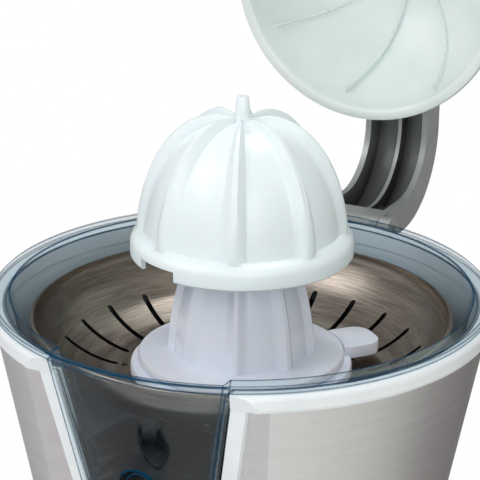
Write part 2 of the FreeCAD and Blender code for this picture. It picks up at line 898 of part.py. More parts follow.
stem_floor = LIP - 19.0
socket_top = LIP - 20.8
guide_bore = drum("guide_bore", D["stem_radius"] + 0.3, stem_floor, LIP + 60)
drive_socket = doc.addObject("Part::Prism", "drive_socket")
drive_socket.Polygon = 6
bind(drive_socket, Circumradius=D["drive_radius"] + drive_gap, Height=socket_top - disc_low + 1)
bind(drive_socket, Placement__Base__z=disc_low - 1)
keep(cut("small_cone", small_panel, small_hollow, guide_bore, drive_socket), "small_cone")

# Large cone: skirt with a notch, ribbed cone, peg and guide stem
skirt_low = LIP + 15.0
skirt_top = skirt_low + D["skirt_height"]
large_top = skirt_top + D["large_height"]
peg_top = large_top + 11.5
large_panel = ribbed_cone(
    "large_ribs",
    [
        (0, skirt_low),
        (D["skirt_radius"] - 0.8, skirt_low),
        (D["skirt_radius"], skirt_low + 0.8),
        (D["skirt_radius"], skirt_low + 5.5),
        (D["skirt_radius"] - 0.8, skirt_low + 7.5),
        (D["skirt_radius"] - 2.6, skirt_top - 1.0),
        *reversed(bow((4.2, large_top - 0.6), (D["large_radius"], skirt_top), 7, 84)),
        (2.3, peg_top - 8),
        (2.3, peg_top),
        (0, peg_top),
    ],
    [
        (3, skirt_top - 1.4),
        (D["large_radius"] - 0.2, skirt_top - 1.4),
        *reversed(bow((4.6, large_top - 1.2), (D["large_radius"] - 0.3, skirt_top), 7, 84)),
        (3, large_top - 1.3),
    ],
    [
        (3, skirt_top - 1.4),
        (D["large_radius"] + 2.9, skirt_top - 1.4),
        *reversed(bow((10.5, large_top + 2.4), (D["large_radius"] + 2.9, skirt_top), 7, 84)),
        (3, large_top - 1.3),
    ],
    8.5,
)
large_room = D["large_radius"] - D["cone_wall"]
large_hollow = turned(
    "large_hollow",
    [
        (D["stem_radius"], skirt_low - 1),
        (D["skirt_radius"] - 2.2, skirt_low - 1),
        (D["skirt_radius"] - 2.2, skirt_low + 5),
        *reversed(bow((D["stem_radius"], large_top - 3.6), (large_room, skirt_top - 1), 7, 84)),
    ],
)
stem_low = LIP + 20.0
stem_room = drum("stem_room", D["stem_radius"] + 1, skirt_low - 1, stem_low)
notch_turn = -114
notch = block("notch", (30, 50), (-9.5, 9.5), (skirt_low - 1, skirt_low + 4.5))
notch_turned = turned_copy("notch_turned", notch, Placement(Vector(0, 0, 0), Rotation(Z_AXIS, notch_turn)))
peg_slant = prism(
    "peg_slant",
    "XZ_Plane",
    [(-4, peg_top - 1.6), (4, peg_top + 0.4), (4, peg_top + 4), (-4, peg_top + 4)],
    20,
)
keep(cut("large_cone", large_panel, large_hollow, stem_room, notch_turned, peg_slant), "large_cone")

# Press dome and arm, drawn in the pressing position and then raised about the hinge
RAISED = Placement(
    Vector(0, 0, 0),
    Rotation(X_AXIS, -D["arm_raise"].value),
    Vector(0, D["pivot_depth"].value, hinge_level.value),
)


def raised(shape, label):
    """Swing a finished shape up about the hinge and list it for export."""
    doc.recompute()
    item = doc.addObject("Part::Feature", f"{label}_raised")
    item.Shape = shape.Shape.copy()
    item.Placement = RAISED.multiply(shape.Shape.Placement)
    return keep(item, label)


dome_rim = LIP + D["dome_rise"]
dome_apex = dome_rim + D["dome_depth"]
dome_outer_apex = dome_apex + D["dome_wall"]
dome_bands = 7
dome_outer = bow((6, dome_outer_apex), (D["dome_radius"] - 1.4, dome_rim + 5), dome_bands, 86)
dome_inner = bow((6, dome_apex), (D["dome_radius"] - 4.6, dome_rim + 5), dome_bands, 86)
dome_bowl = turned(
    "dome_bowl",
    [
        (D["dome_radius"] - 4.6, dome_rim + 1.6),
        (D["dome_radius"] - 3.4, dome_rim),
        (D["dome_radius"] - 1.2, dome_rim),
        (D["dome_radius"], dome_rim + 1.4),
        (D["dome_radius"], dome_rim + 3.6),
        *reversed(dome_outer),
        (0, dome_outer_apex),
        (0, dome_apex),
        *dome_inner,
    ],
)
fin_reach = D["dome_radius"] - 4.6
fin_root = 0.4
fin_depth = 3.0
fin_space = turned(
    "fin_space",
    [
        *reversed(bow((6, dome_apex + fin_root), (fin_reach + fin_root, dome_rim + 5), dome_bands, 86)),
        *bow((6, dome_apex - fin_depth), (fin_reach - fin_depth, dome_rim + 5), dome_bands, 86),
    ],
)
fin_plate = prism(
    "fin_plate",
    "XY_Plane",
    [(6.2, -0.7), (28, 2.3), (53, 11.3), (52.5, 12.7), (27.5, 3.7), (6, 0.7)],
    LIP * 3,
)
fins = ring_of("fins", common("fin", fin_plate, fin_space), 8)
dome_screw_hole = drum("dome_screw_hole", 2.1, dome_apex - 5, dome_outer_apex + 1)
dome_blank = cut("dome_blank", fuse("dome_finned", dome_bowl, fins), dome_screw_hole)
raised(dome_blank, "press_dome")

arm_y = D["pivot_depth"]
arm_mouth = hinge_level + D["arm_rise"]
arm_back = arm_mouth + D["arm_depth"]
arm_near = arm_y - D["arm_depth"] / 2
arm_far = arm_y + D["arm_depth"] / 2
inner_bend = 24.0
outer_bend = 37.0
arm_tip = -20.0


def arm_slab(name, inset, width):
    """Make the arm's bent outline as a slab across X, drawn in by an inset at its outside."""
    return prism(
        name,
        "YZ_Plane",
        [
            (arm_near, hinge_level),
            (arm_far - inset, hinge_level),
            (arm_far - inset, arm_back - outer_bend),
            (arm_far - outer_bend, arm_back - inset),
            (arm_tip + 8 + inset, arm_back - inset),
            (arm_tip + inset, arm_back - 6),
            (arm_tip + inset, arm_mouth),
            (arm_near - inner_bend, arm_mouth),
            (arm_near, arm_mouth - inner_bend),
        ],
        width,
        {2: outer_bend - inset, 7: -inner_bend},
    )


arm_solid = arm_slab("arm_solid", 0, D["arm_half"] * 2)
arm_room_wide = prism(
    "arm_room_wide",
    "YZ_Plane",
    [
        (arm_near - 4, hinge_level + 9),
        (arm_far - D["arm_wall"], hinge_level + 9),
        (arm_far - D["arm_wall"], arm_back - outer_bend),
        (arm_far - outer_bend, arm_back - D["arm_wall"]),
        (arm_tip + 9, arm_back - D["arm_wall"]),
        (arm_tip + 3, arm_mouth - 4),
        (arm_near - inner_bend - 10, arm_mouth - 4),
        (arm_near - 4, arm_mouth - inner_bend - 10),
    ],
    (D["arm_half"] - D["arm_wall"]) * 2,
    {2: outer_bend - D["arm_wall"]},
)
arm_barrel = rod("arm_barrel", D["arm_depth"] / 2, D["arm_half"], arm_y, hinge_level)
arm_rib = block("arm_rib", (-0.8, 0.8), (0, arm_y), (hinge_level, arm_back))
arm_rib_trim = common("arm_rib_trim", arm_rib, arm_slab("arm_rib_slab", 0, D["arm_half"]))
rib_mouth = prism(
    "rib_mouth",
    "YZ_Plane",
    [
        (arm_near - 40, hinge_level - 10),
        (arm_near + 4, hinge_level - 10),
        (arm_near + 4, arm_mouth - inner_bend),
        (arm_near - inner_bend, arm_mouth + 4),
        (-40, arm_mouth + 4),
        (-40, hinge_level - 10),
    ],
    40,
    {2: inner_bend + 4},
)
arm_walls = cut("arm_walls", fuse("arm_full", arm_solid, arm_barrel), arm_room_wide)
dome_space = turned(
    "dome_space",
    [
        (0, dome_rim - 20),
        (D["dome_radius"] + 0.1, dome_rim - 20),
        (D["dome_radius"] + 0.1, dome_rim + 3.6),
        *reversed(dome_outer),
        (0, dome_outer_apex),
    ],
)
arm_bore = rod("arm_bore", D["pin_radius"] + 0.05, D["arm_half"] + 2, arm_y, hinge_level)
arm_screw_hole = drum("arm_screw_hole", 1.7, dome_outer_apex - 1, dome_outer_apex + 8)
boss_arm = drum("boss_arm", 5, dome_outer_apex, arm_back - 1)
arm_inner_rib = cut("arm_inner_rib", arm_rib_trim, rib_mouth)
arm_joined = fuse("arm_joined", arm_walls, arm_inner_rib, boss_arm)
raised(cut("arm_done", arm_joined, dome_space, arm_bore, arm_screw_hole), "press_arm")

dome_screw_head = drum("dome_screw_head", 4.2, dome_apex - 2.6, dome_apex)
dome_screw_shank = drum("dome_screw_shank", 1.6, dome_apex - 1, dome_outer_apex + 6)
raised(fuse("dome_screw_blank", dome_screw_head, dome_screw_shank), "dome_screw")

# Hinge at the back: bracket with two ears, pin and screws
ear_near = D["arm_half"] + 0.4
ear_far = ear_near + D["ear_thick"]
ear_radius = 6.8
bracket_block = prism(
    "bracket_block",
    "YZ_Plane",
    [
        (hinge_face + 0.4, hinge_level),
        (hinge_face + 0.4, SHELL_TOP - 0.5),
        (78, SHELL_TOP - 0.5),
        (78, bracket_low),
        (arm_y - 3, bracket_low),
        (arm_y + ear_radius, hinge_level - 16),
        (arm_y + ear_radius, hinge_level),
    ],
    ear_far * 2,
)
bracket_round = rod("bracket_round", ear_radius, ear_far, arm_y, hinge_level)
bracket_cone = doc.addObject("Part::Cone", "bracket_cone")
bind(
    bracket_cone,
    Radius1=shell_radius(SHELL_FOOT) + 0.1,
    Radius2=shell_radius(SHELL_TOP) + 0.1,
    Height=SHELL_TOP - SHELL_FOOT,
    Placement__Base__z=SHELL_FOOT,
)
bracket_slot = block("bracket_slot", (-ear_near, ear_near), (60, 130), (hinge_level - 9, LIP + 20))
bracket_bore = rod("bracket_bore", D["pin_radius"], ear_far + 2, arm_y, hinge_level)
bolt_y = arm_y - 3.5
head_radius = 3.8
bracket_drills = bracket_drill("bracket_drill", bolt_radius + 0.05, 70, 130)
bracket_sinks = bracket_drill("bracket_sink", head_radius + 0.2, bolt_y, 130)
bracket_back = fuse("bracket_back", bracket_block, bracket_round)
keep(
    cut(
        "hinge_bracket",
        bracket_back,
        bracket_cone,
        bracket_slot,
        bracket_bore,
        *bracket_drills,
        *bracket_sinks,
    ),
    "hinge_bracket",
)
keep(rod("hinge_pin", D["pin_radius"], ear_far + 0.5, arm_y, hinge_level), "hinge_pin")
bolt_shanks = bracket_drill("bolt_shank", bolt_radius, 85.5, bolt_y)
bolt_heads = bracket_drill("bolt_head", head_radius, bolt_y, bolt_y + 2.4)
bolts = []
for side, shank, head in zip(("left", "right"), bolt_shanks, bolt_heads):
    bolts.append(fuse(f"bolt_{side}", shank, head))
doc.recompute()
bolt_group = doc.addObject("Part::Feature", "bolt_group")
bolt_group.Shape = Part.Compound([bolt.Shape.copy() for bolt in bolts])
keep(bolt_group, "bracket_screws")


def gear(name, teeth, low, high, bore, turn=0.0):
    """Make a spur gear on the Z axis with straight-sided teeth of the common module."""
    module = D["tooth_module"].value
    pitch = module * teeth / 2
    points = []
    for number in range(teeth):
        for radius, side in ((-1.25, -0.32), (1.0, -0.125), (1.0, 0.125), (-1.25, 0.32)):
            angle = 2 * math.pi * (number + turn + side) / teeth
            reach = pitch + radius * module
            points.append(Vector(reach * math.cos(angle), reach * math.sin(angle), low.value))
    wheel = Part.Face(Part.makePolygon(points + points[:1]))
    solid = wheel.extrude(Vector(0, 0, high.value - low.value))
    hole = Part.makeCylinder(bore, high.value - low.value + 2, Vector(0, 0, low.value - 1))
    item = doc.addObject("Part::Feature", name)
    item.Shape = solid.cut(hole)
    return item


def mesh_turn(teeth, other_teeth, other_turn, direction):
    """Return the turn, in teeth, that meshes a gear standing this way (degrees) from another one."""
    share = direction / 360.0
    return ((share + 0.5) * teeth + share * other_teeth - other_turn - 0.5) % 1.0


# Drive: motor, two gear pairs between plates, spindle, bush and seal
gear_low = LIP - D["gear_drop"]
wheel_low = gear_low + 1.0
wheel_high = wheel_low + D["gear_width"]
output_low = wheel_high + 1.0
output_high = output_low + D["gear_width"]
plate_top = output_high + 1.0
motor_teeth = 12
idler_teeth = 36
pinion_teeth = 14
output_teeth = 42
module = D["tooth_module"].value
idler_x = module * (pinion_teeth + output_teeth) / 2
motor_way = 130.0
motor_span = module * (motor_teeth + idler_teeth) / 2
motor_x = idler_x + motor_span * math.cos(math.radians(motor_way))
motor_y = motor_span * math.sin(math.radians(motor_way))

spindle_top = LIP - 21.2
spindle_bar = drum("spindle_bar", D["spindle_radius"], gear_low - 1.5, chimney_top - 1)
spindle_nose = doc.addObject("Part::Prism", "spindle_nose")
spindle_nose.Polygon = 6
bind(spindle_nose, Circumradius=D["drive_radius"], Height=spindle_top - chimney_top + 2)
bind(spindle_nose, Placement__Base__z=chimney_top - 2)
keep(fuse("spindle", spindle_bar, spindle_nose), "spindle")
output_gear = gear("output_gear_blank", output_teeth, output_low, output_high, D["spindle_radius"].value)
keep(output_gear, "output_gear")

idler_wheel = gear("idler_wheel", idler_teeth, wheel_low, wheel_high, 3.1)
idler_turn = mesh_turn(pinion_teeth, output_teeth, 0.0, 0.0)
idler_pinion = gear("idler_pinion", pinion_teeth, wheel_high, output_high, 3.1, idler_turn)
idler = fuse("idler_blank", idler_wheel, idler_pinion)
doc.recompute()
idler_placed = doc.addObject("Part::Feature", "idler_placed")
idler_placed.Shape = idler.Shape.copy()
idler_placed.Placement = Placement(Vector(idler_x, 0, 0), Rotation())
keep(idler_placed, "idler_gear")
keep(drum("idler_shaft_bar", 3.0, gear_low - 2, plate_top + 2, idler_x, 0), "idler_shaft")

plate_low = gear_low - 3.0
gear_plate_low = drum("gear_plate_low", D["plate_radius"], plate_low, gear_low)
motor_window = drum("motor_window", 11, plate_low - 1, gear_low + 1, motor_x, motor_y)
idler_seat = drum("idler_seat", 3.0, plate_low + 1, gear_low + 1, idler_x, 0)
spindle_seat = drum("spindle_seat", D["spindle_radius"] + 0.05, gear_low - 1.7, gear_low + 1)
keep(cut("lower_gear_plate", gear_plate_low, motor_window, idler_seat, spindle_seat), "lower_gear_plate")
gear_plate_high = drum("gear_plate_high", D["plate_radius"], plate_top, plate_top + 3)
plate_bore = drum("plate_bore", 9, plate_top - 1, plate_top + 5)
idler_seat_high = drum("idler_seat_high", 3.0, plate_top - 1, plate_top + 2, idler_x, 0)
keep(cut("upper_gear_plate", gear_plate_high, plate_bore, idler_seat_high), "upper_gear_plate")
post = drum("post", 3.5, gear_low, plate_top, D["plate_radius"] - 4, 0)
keep(ring_of("plate_posts", post, 4, 45), "plate_posts")
hanger = cut(
    "hanger",
    drum("hanger_bar", 4.0, plate_top + 3, deck_top - deck_thick, D["plate_radius"] - 8, 0),
    drum("hanger_hole", 1.6, plate_top + 2, plate_top + 12, D["plate_radius"] - 8, 0),
)
keep(ring_of("deck_hangers", hanger, 4, 0), "deck_hangers")

keep(
    turned(
        "spindle_bush",
        [
            (D["spindle_radius"] + 0.05, plate_top - 0.5),
            (8.9, plate_top - 0.5),
            (8.9, plate_top + 3),
            (11, plate_top + 3),
            (11, plate_top + 6),
            (D["spindle_radius"] + 0.05, plate_top + 6),
        ],
    ),
    "spindle_bush",
)
keep(
    turned(
        "shaft_seal",
        [
            (D["spindle_radius"] + 0.1, deck_top - deck_thick + 0.5),
            (13.9, deck_top - deck_thick + 0.5),
            (13.9, deck_top - 0.2),
            (D["spindle_radius"] + 1.5, deck_top - 0.2),
            (D["spindle_radius"] + 0.1, deck_top - 1.6),
        ],
    ),
    "shaft_seal",
)

motor_high = plate_low
motor_low = motor_high - D["motor_height"]
can_outer = drum("can_outer", D["motor_radius"], motor_low, motor_high - 0.1, motor_x, motor_y)
can_inner = drum("can_inner", D["motor_radius"] - 3, motor_low + 3, motor_high - 3, motor_x, motor_y)
can_bore = drum("can_bore", 2.6, motor_low + 1, motor_high + 1, motor_x, motor_y)
keep(cut("motor_can", can_outer, can_inner, can_bore), "motor_can")
core_radius = D["motor_radius"] - 6
armature_core = drum("armature_core", core_radius, motor_low + 10, motor_high - 10, motor_x, motor_y)
armature_shaft = drum("armature_shaft", 2.5, motor_low + 1.2, wheel_high, motor_x, motor_y)
pinion_turn = mesh_turn(motor_teeth, idler_teeth, 0.0, motor_way)
motor_pinion = gear("motor_pinion", motor_teeth, wheel_low, wheel_high, 2.4, pinion_turn)
doc.recompute()
motor_pinion.Placement = Placement(Vector(motor_x, motor_y, 0), Rotation())
keep(fuse("motor_armature", armature_core, armature_shaft, motor_pinion), "motor_armature")

doc.recompute()
faults = [item.Name for item in doc.Objects if {"Invalid", "Error"} & set(item.State)]
faults += [item.Label for item in PARTS if item.Shape.isNull() or not item.Shape.isValid()]
if faults:
    raise SystemExit(f"not built: {faults}")
os.makedirs("parts", exist_ok=True)
for part in PARTS:
    part.Shape.exportStep(f"parts/{part.Label}.step")
    print(part.Label, len(part.Shape.Solids), round(part.Shape.Volume))
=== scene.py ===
"""Looks of the citrus press juicer: finishes, smooth stand-ins for the moulded pieces and the studio."""

import json
import logging
import math
from dataclasses import dataclass, field
from enum import Enum

import bpy
from mathutils import Matrix, Vector


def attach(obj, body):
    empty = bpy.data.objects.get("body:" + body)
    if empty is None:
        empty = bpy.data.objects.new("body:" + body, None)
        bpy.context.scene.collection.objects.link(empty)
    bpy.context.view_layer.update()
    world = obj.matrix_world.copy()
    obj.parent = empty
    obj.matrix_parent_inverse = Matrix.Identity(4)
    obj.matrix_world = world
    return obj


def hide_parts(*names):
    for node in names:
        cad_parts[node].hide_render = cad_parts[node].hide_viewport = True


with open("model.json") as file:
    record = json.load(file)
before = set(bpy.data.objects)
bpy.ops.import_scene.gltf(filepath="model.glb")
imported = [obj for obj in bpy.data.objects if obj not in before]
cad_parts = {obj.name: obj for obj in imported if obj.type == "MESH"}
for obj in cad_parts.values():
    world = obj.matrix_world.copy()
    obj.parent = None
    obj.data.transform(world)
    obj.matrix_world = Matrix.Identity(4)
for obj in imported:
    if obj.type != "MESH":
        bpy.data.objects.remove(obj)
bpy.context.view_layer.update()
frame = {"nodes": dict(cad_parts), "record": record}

log = logging.getLogger("juicer")
SLOTS = {part["node"]: part["material_slot"] for part in frame["record"]["subparts"]}

# Shapes are written in millimetres and degrees; the scene is in metres.
MM = 0.001
LIP = 236.0
RIBS = 8
RIB_TURN = -70.0
AXIS = 0.005
CORNERS = 144
SAME_PLACE = 0.02

# Patterns of the finishes, in repeats per metre.
GRAIN = 2600.0
DRIFT = 38.0
GLOSS = 160.0
FINE_LINES = 2200.0
BROAD_LINES = 240.0
SMUDGE = 30.0
WAVE = 55.0
POLISH = 300.0
TOOL_MARKS = 900.0
TOOL_SHADE = 90.0


class Sweep(Enum):
    """How a brushed metal's lines run on a piece."""

    AROUND = "around"
    ALONG_X = "along_x"


def linear(hex_colour: str) -> tuple[float, float, float, float]:
    """Turn an sRGB hex colour into linear RGBA.

    Args:
        hex_colour: Six hex digits, without a hash.

    Returns:
        The linear colour with full alpha.
    """
    parts = [int(hex_colour[i : i + 2], 16) / 255 for i in (0, 2, 4)]
    red, green, blue = (p / 12.92 if p <= 0.04045 else ((p + 0.055) / 1.055) ** 2.4 for p in parts)
    return (red, green, blue, 1.0)


class Graph:
    """The node tree of a material or of the world, with one call per node."""

    def __init__(self, name: str, world: bool = False) -> None:
        """Start an empty material or world.

        Args:
            name: Its name.
            world: Whether it is the world.
        """
        self.owner = (bpy.data.worlds if world else bpy.data.materials).new(name)
        self.output = "OutputWorld" if world else "OutputMaterial"
        self.owner.use_nodes = True
        self.tree = self.owner.node_tree
        self.tree.nodes.clear()

    def add(self, kind: str, settings: dict | None = None, **inputs: object) -> bpy.types.Node:
        """Add a node, set its options and fill its inputs.

        Args:
            kind: The node's type name without the ShaderNode prefix.
            settings: Options of the node, such as an operation.
            **inputs: Values or output sockets, by input name (spaces as underscores) or in0, in1.

        Returns:
            The new node.
        """
        node = self.tree.nodes.new(f"ShaderNode{kind}")
        for key, value in (settings or {}).items():
            setattr(node, key, value)
        for key, value in inputs.items():
            number = key[2:] if key.startswith("in") else ""
            socket = node.inputs[int(number)] if number.isdigit() else node.inputs[key.replace("_", " ")]
            if isinstance(value, bpy.types.NodeSocket):
                self.tree.links.new(value, socket)
            else:
                socket.default_value = value
        return node

    def position(self) -> bpy.types.NodeSocket:
        """Return the piece's own coordinates in metres."""
        return self.add("TexCoord").outputs["Object"]

    def ramp(
        self, factor: bpy.types.NodeSocket, low: str, high: str, span: tuple[float, float]
    ) -> bpy.types.NodeSocket:
        """Blend two colours over part of a factor's range.

        Args:
            factor: The driving value.
            low: Hex colour at the start of the span.
            high: Hex colour at its end.
            span: Start and end of the blend.

        Returns:
            The colour output.
        """
        node = self.add("ValToRGB", None, Fac=factor)
        first, last = node.color_ramp.elements
        first.position, last.position = span
        first.color, last.color = linear(low), linear(high)
        return node.outputs["Color"]

    def span(self, value: bpy.types.NodeSocket, low: float, high: float) -> bpy.types.NodeSocket:
        """Map a 0..1 value to a range.

        Args:
            value: The value to map.
            low: Result at zero.
            high: Result at one.

        Returns:
            The mapped value.
        """
        return self.add("MapRange", None, Value=value, To_Min=low, To_Max=high).outputs["Result"]

    def noise(self, vector: bpy.types.NodeSocket, scale: float, detail: float = 4.0) -> bpy.types.NodeSocket:
        """Return a noise value on a vector.

        Args:
            vector: Where the noise is read.
            scale: Its frequency per metre.
            detail: Its octaves.

        Returns:
            The noise value.
        """
        return self.add("TexNoise", None, Vector=vector, Scale=scale, Detail=detail).outputs["Fac"]

    def bump(self, height: bpy.types.NodeSocket, depth_mm: float, strength: float) -> bpy.types.NodeSocket:
        """Return a bumped normal.

        Args:
            height: The height pattern.
            depth_mm: Its depth in millimetres.
            strength: Share of the effect.

        Returns:
            The normal output.
        """
        node = self.add("Bump", None, Height=height, Distance=depth_mm * MM, Strength=strength)
        return node.outputs["Normal"]

    def blend(self, share: bpy.types.NodeSocket, low: bpy.types.Node, high: bpy.types.Node) -> bpy.types.Node:
        """Mix two shaders.

        Args:
            share: The second shader's share.
            low: The shader at zero.
            high: The shader at one.

        Returns:
            The mixing node.
        """
        return self.add("MixShader", None, in0=share, in1=low.outputs[0], in2=high.outputs[0])

    def times(
        self, value: bpy.types.NodeSocket, factor: bpy.types.NodeSocket | float
    ) -> bpy.types.NodeSocket:
        """Multiply a value.

        Args:
            value: The value.
            factor: What it is multiplied by.

        Returns:
            The product.
        """
        return self.add("Math", {"operation": "MULTIPLY"}, in0=value, in1=factor).outputs["Value"]

    def finish(self, shader: bpy.types.Node) -> bpy.types.Material | bpy.types.World:
        """Link a shader to the output.

        Args:
            shader: The last shader node.

        Returns:
            The material or world.
        """
        self.add(self.output, None, Surface=shader.outputs[0])
        return self.owner


@dataclass(frozen=True)
class Moulded:
    """A moulded plastic: soft colour drift, fine grain, a satin gloss and, where a recess colour is given,
    painted shade that darkens its recesses.
    """

    name: str
    colour: str
    shade: str
    gloss: float = 0.32
    grain_mm: float = 0.012
    glow: float = 0.0
    metal: float = 0.0
    # Colour of the painted shade in creases and hollows, and how far the ambient occlusion that lays it on
    # reaches, in millimetres.
    recess_shade: str = ""
    recess_shade_mm: float = 25.0

    def make(self) -> bpy.types.Material:
        """Return the material."""
        g = Graph(self.name)
        at = g.position()
        drift = g.noise(at, DRIFT, 3.0)
        grain = g.noise(at, GRAIN, 2.0)
        colour = g.ramp(drift, self.shade, self.colour, (0.3, 0.62))
        # Painted shade: ambient occlusion blends the colour toward the recess colour in creases and hollows,
        # where real shade would fall.
        if self.recess_shade:
            shelter = g.add("AmbientOcclusion", {"samples": 16}, Distance=self.recess_shade_mm * MM).outputs["AO"]
            depth = g.add("MapRange", None, Value=shelter, From_Min=0.25, From_Max=0.85).outputs["Result"]
            mixed = g.add("Mix", {"data_type": "RGBA"}, Factor=depth, in6=linear(self.recess_shade), in7=colour)
            colour = mixed.outputs[2]
        rough = g.span(g.noise(at, GLOSS), self.gloss - 0.05, self.gloss + 0.06)
        shader = g.add(
            "BsdfPrincipled",
            None,
            Base_Color=colour,
            Roughness=rough,
            Normal=g.bump(grain, self.grain_mm, 0.5),
            Metallic=self.metal,
            Subsurface_Weight=self.glow,
            Subsurface_Scale=4 * MM,
        )
        return g.finish(shader)


@dataclass(frozen=True)
class Lined:
    """A plastic housing that is pale at its rim and dark below it."""

    name: str
    rim: str
    below: str
    blend_mm: tuple[float, float]
    gloss: float = 0.5
    grain_mm: float = 0.03

    def make(self) -> bpy.types.Material:
        """Return the material."""
        g = Graph(self.name)
        at = g.position()
        height = g.add("SeparateXYZ", None, Vector=at).outputs["Z"]
        low, high = (edge * MM for edge in self.blend_mm)
        colour = g.ramp(height, self.below, self.rim, (low, high))
        normal = g.bump(g.noise(at, GRAIN, 2.0), self.grain_mm, 0.5)
        return g.finish(g.add("BsdfPrincipled", None, Base_Color=colour, Roughness=self.gloss, Normal=normal))


@dataclass(frozen=True)
class Brushed:
    """Brushed steel with lines round the cones' axis or straight across."""

    name: str
    colour: str
    shade: str
    sweep: Sweep = Sweep.AROUND
    rough: float = 0.26
    stretch: float = 0.8
    pull_around: float = 0.003
    pull_along: float = 0.03

    def make(self) -> bpy.types.Material:
        """Return the material."""
        g = Graph(self.name)
        at = g.position()
        parts = g.add("SeparateXYZ", None, Vector=at).outputs
        if self.sweep is Sweep.AROUND:
            flat = g.add("CombineXYZ", None, X=parts["X"], Y=parts["Y"]).outputs["Vector"]
            reach = g.add("VectorMath", {"operation": "LENGTH"}, in0=flat).outputs["Value"]
            turn = g.add("Math", {"operation": "ARCTAN2"}, in0=parts["Y"], in1=parts["X"]).outputs["Value"]
            along = g.times(turn, self.pull_around)
            lines = g.add("CombineXYZ", None, X=along, Y=reach, Z=parts["Z"]).outputs["Vector"]
        else:
            along = g.times(parts["X"], self.pull_along)
            lines = g.add("CombineXYZ", None, X=along, Y=parts["Y"], Z=parts["Z"]).outputs["Vector"]
        fine = g.noise(lines, FINE_LINES, 6.0)
        broad = g.noise(lines, BROAD_LINES, 3.0)
        mixed = g.add("Math", {"operation": "MULTIPLY_ADD"}, in0=broad, in1=0.45, in2=g.span(fine, 0.0, 0.55))
        line = mixed.outputs["Value"]
        smudge = g.span(g.noise(at, SMUDGE, 3.0), self.rough - 0.02, self.rough + 0.03)
        rough = g.add("Math", None, in0=g.span(line, -0.04, 0.05), in1=smudge)
        tangent = g.add("Tangent", {"direction_type": "RADIAL", "axis": "Z"}).outputs["Tangent"]
        shader = g.add(
            "BsdfPrincipled",
            None,
            Base_Color=g.ramp(line, self.shade, self.colour, (0.25, 0.7)),
            Metallic=1.0,
            Roughness=rough.outputs["Value"],
            Anisotropic=self.stretch,
            Tangent=tangent,
            Normal=g.bump(line, 0.01, 0.12),
        )
        return g.finish(shader)


@dataclass(frozen=True)
class Clear:
    """Clear moulded plastic: faintly tinted, teal along its edges and a mirror at a slant."""

    name: str
    tint: str
    edge: str
    slant: str = "4C86A2"
    edge_mm: float = 1.5
    edge_share: float = 0.95
    mirror: str = "F4FAFC"
    bend: float = 1.55

    def make(self) -> bpy.types.Material:
        """Return the material."""
        g = Graph(self.name)
        at = g.position()
        normal = g.bump(g.noise(at, WAVE, 2.0), 0.15, 0.1)
        facing = g.add("LayerWeight", None, Blend=0.32, Normal=normal).outputs["Facing"]
        tint = g.ramp(facing, self.tint, self.slant, (0.62, 1.0))
        soft = g.add("Bevel", {"samples": 8}, Radius=self.edge_mm * MM).outputs["Normal"]
        hard = g.add("NewGeometry").outputs["Normal"]
        along = g.add("VectorMath", {"operation": "DOT_PRODUCT"}, in0=soft, in1=hard).outputs["Value"]
        rim = g.add("MapRange", None, Value=along, From_Min=0.995, From_Max=0.95).outputs["Result"]
        through = g.add("BsdfTransparent", None, Color=tint)
        rough = g.span(g.noise(at, POLISH), 0.02, 0.06)
        mirror = g.add("BsdfGlossy", None, Roughness=rough, Normal=normal, Color=linear(self.mirror))
        bend = g.add("Fresnel", None, IOR=self.bend, Normal=normal).outputs["Fac"]
        behind = g.add("NewGeometry").outputs["Backfacing"]
        front = g.add("Math", {"operation": "SUBTRACT"}, in0=1.0, in1=behind).outputs["Value"]
        body = g.blend(g.times(bend, front), through, mirror)
        line = g.add("BsdfDiffuse", None, Color=linear(self.edge))
        return g.finish(g.blend(g.times(rim, self.edge_share), body, line))


@dataclass(frozen=True)
class Metal:
    """A plain machined metal with fine tool marks."""

    name: str
    colour: str
    shade: str
    rough: float = 0.3

    def make(self) -> bpy.types.Material:
        """Return the material."""
        g = Graph(self.name)
        at = g.position()
        marks = g.noise(at, TOOL_MARKS, 5.0)
        shader = g.add(
            "BsdfPrincipled",
            None,
            Base_Color=g.ramp(g.noise(at, TOOL_SHADE), self.shade, self.colour, (0.3, 0.65)),
            Metallic=1.0,
            Roughness=g.span(marks, self.rough - 0.08, self.rough + 0.1),
            Normal=g.bump(marks, 0.01, 0.4),
        )
        return g.finish(shader)


FINISHES = {
    "steel": Brushed("shell_steel", "DCDBDB", "CAC9C9", Sweep.AROUND, 0.24),
    "sieve_steel": Brushed("sieve_steel", "ABA297", "554C45", Sweep.AROUND, 0.22),
    "white": Moulded("white_plastic", "EFF3F5", "E6EBEE", 0.3),
    "dome": Moulded("dome_plastic", "EAF2F0", "E0EBE8", 0.3, 0.015, 0.05),
    "clear": Clear("clear_plastic", "F4F8FA", "0B3F5A"),
    "large": Moulded("large_cone_plastic", "EAF4F6", "E7F1F3", 0.24, 0.006, 0.08),
    "small": Moulded("small_cone_plastic", "EEF3FF", "EAF0FF", 0.16, 0.006, 0.16),
    # The arm's 3B3A3C is painted shade, laid by ambient occlusion into its channel and recesses.
    "grey": Moulded("arm_grey", "BDC1C0", "AEB3B2", 0.34, 0.02, 0.0, 0.45, "3B3A3C", 30.0),
    "rubber": Moulded("foot_rubber", "232425", "1A1A1B", 0.7, 0.04),
    "inner": Lined("inner_plastic", "DCE3E6", "242528", (200.0, 208.0)),
    "nylon": Moulded("gear_nylon", "E2DAC2", "D6CDB2", 0.45, 0.02),
    "bright": Metal("bright_steel", "D4D5D9", "B4B5BA", 0.24),
    "bronze": Metal("sintered_bronze", "B98E54", "9C7440", 0.45),
    "motor": Brushed("zinc_plate", "8E9195", "74777B", Sweep.ALONG_X, 0.42, 0.3),
}
NODE_FINISH = {"sieve": "sieve_steel", "small_cone": "small", "pulp_wiper": "small", "press_dome": "dome"}
SLOT_FINISH = {"cone_white": "large"}


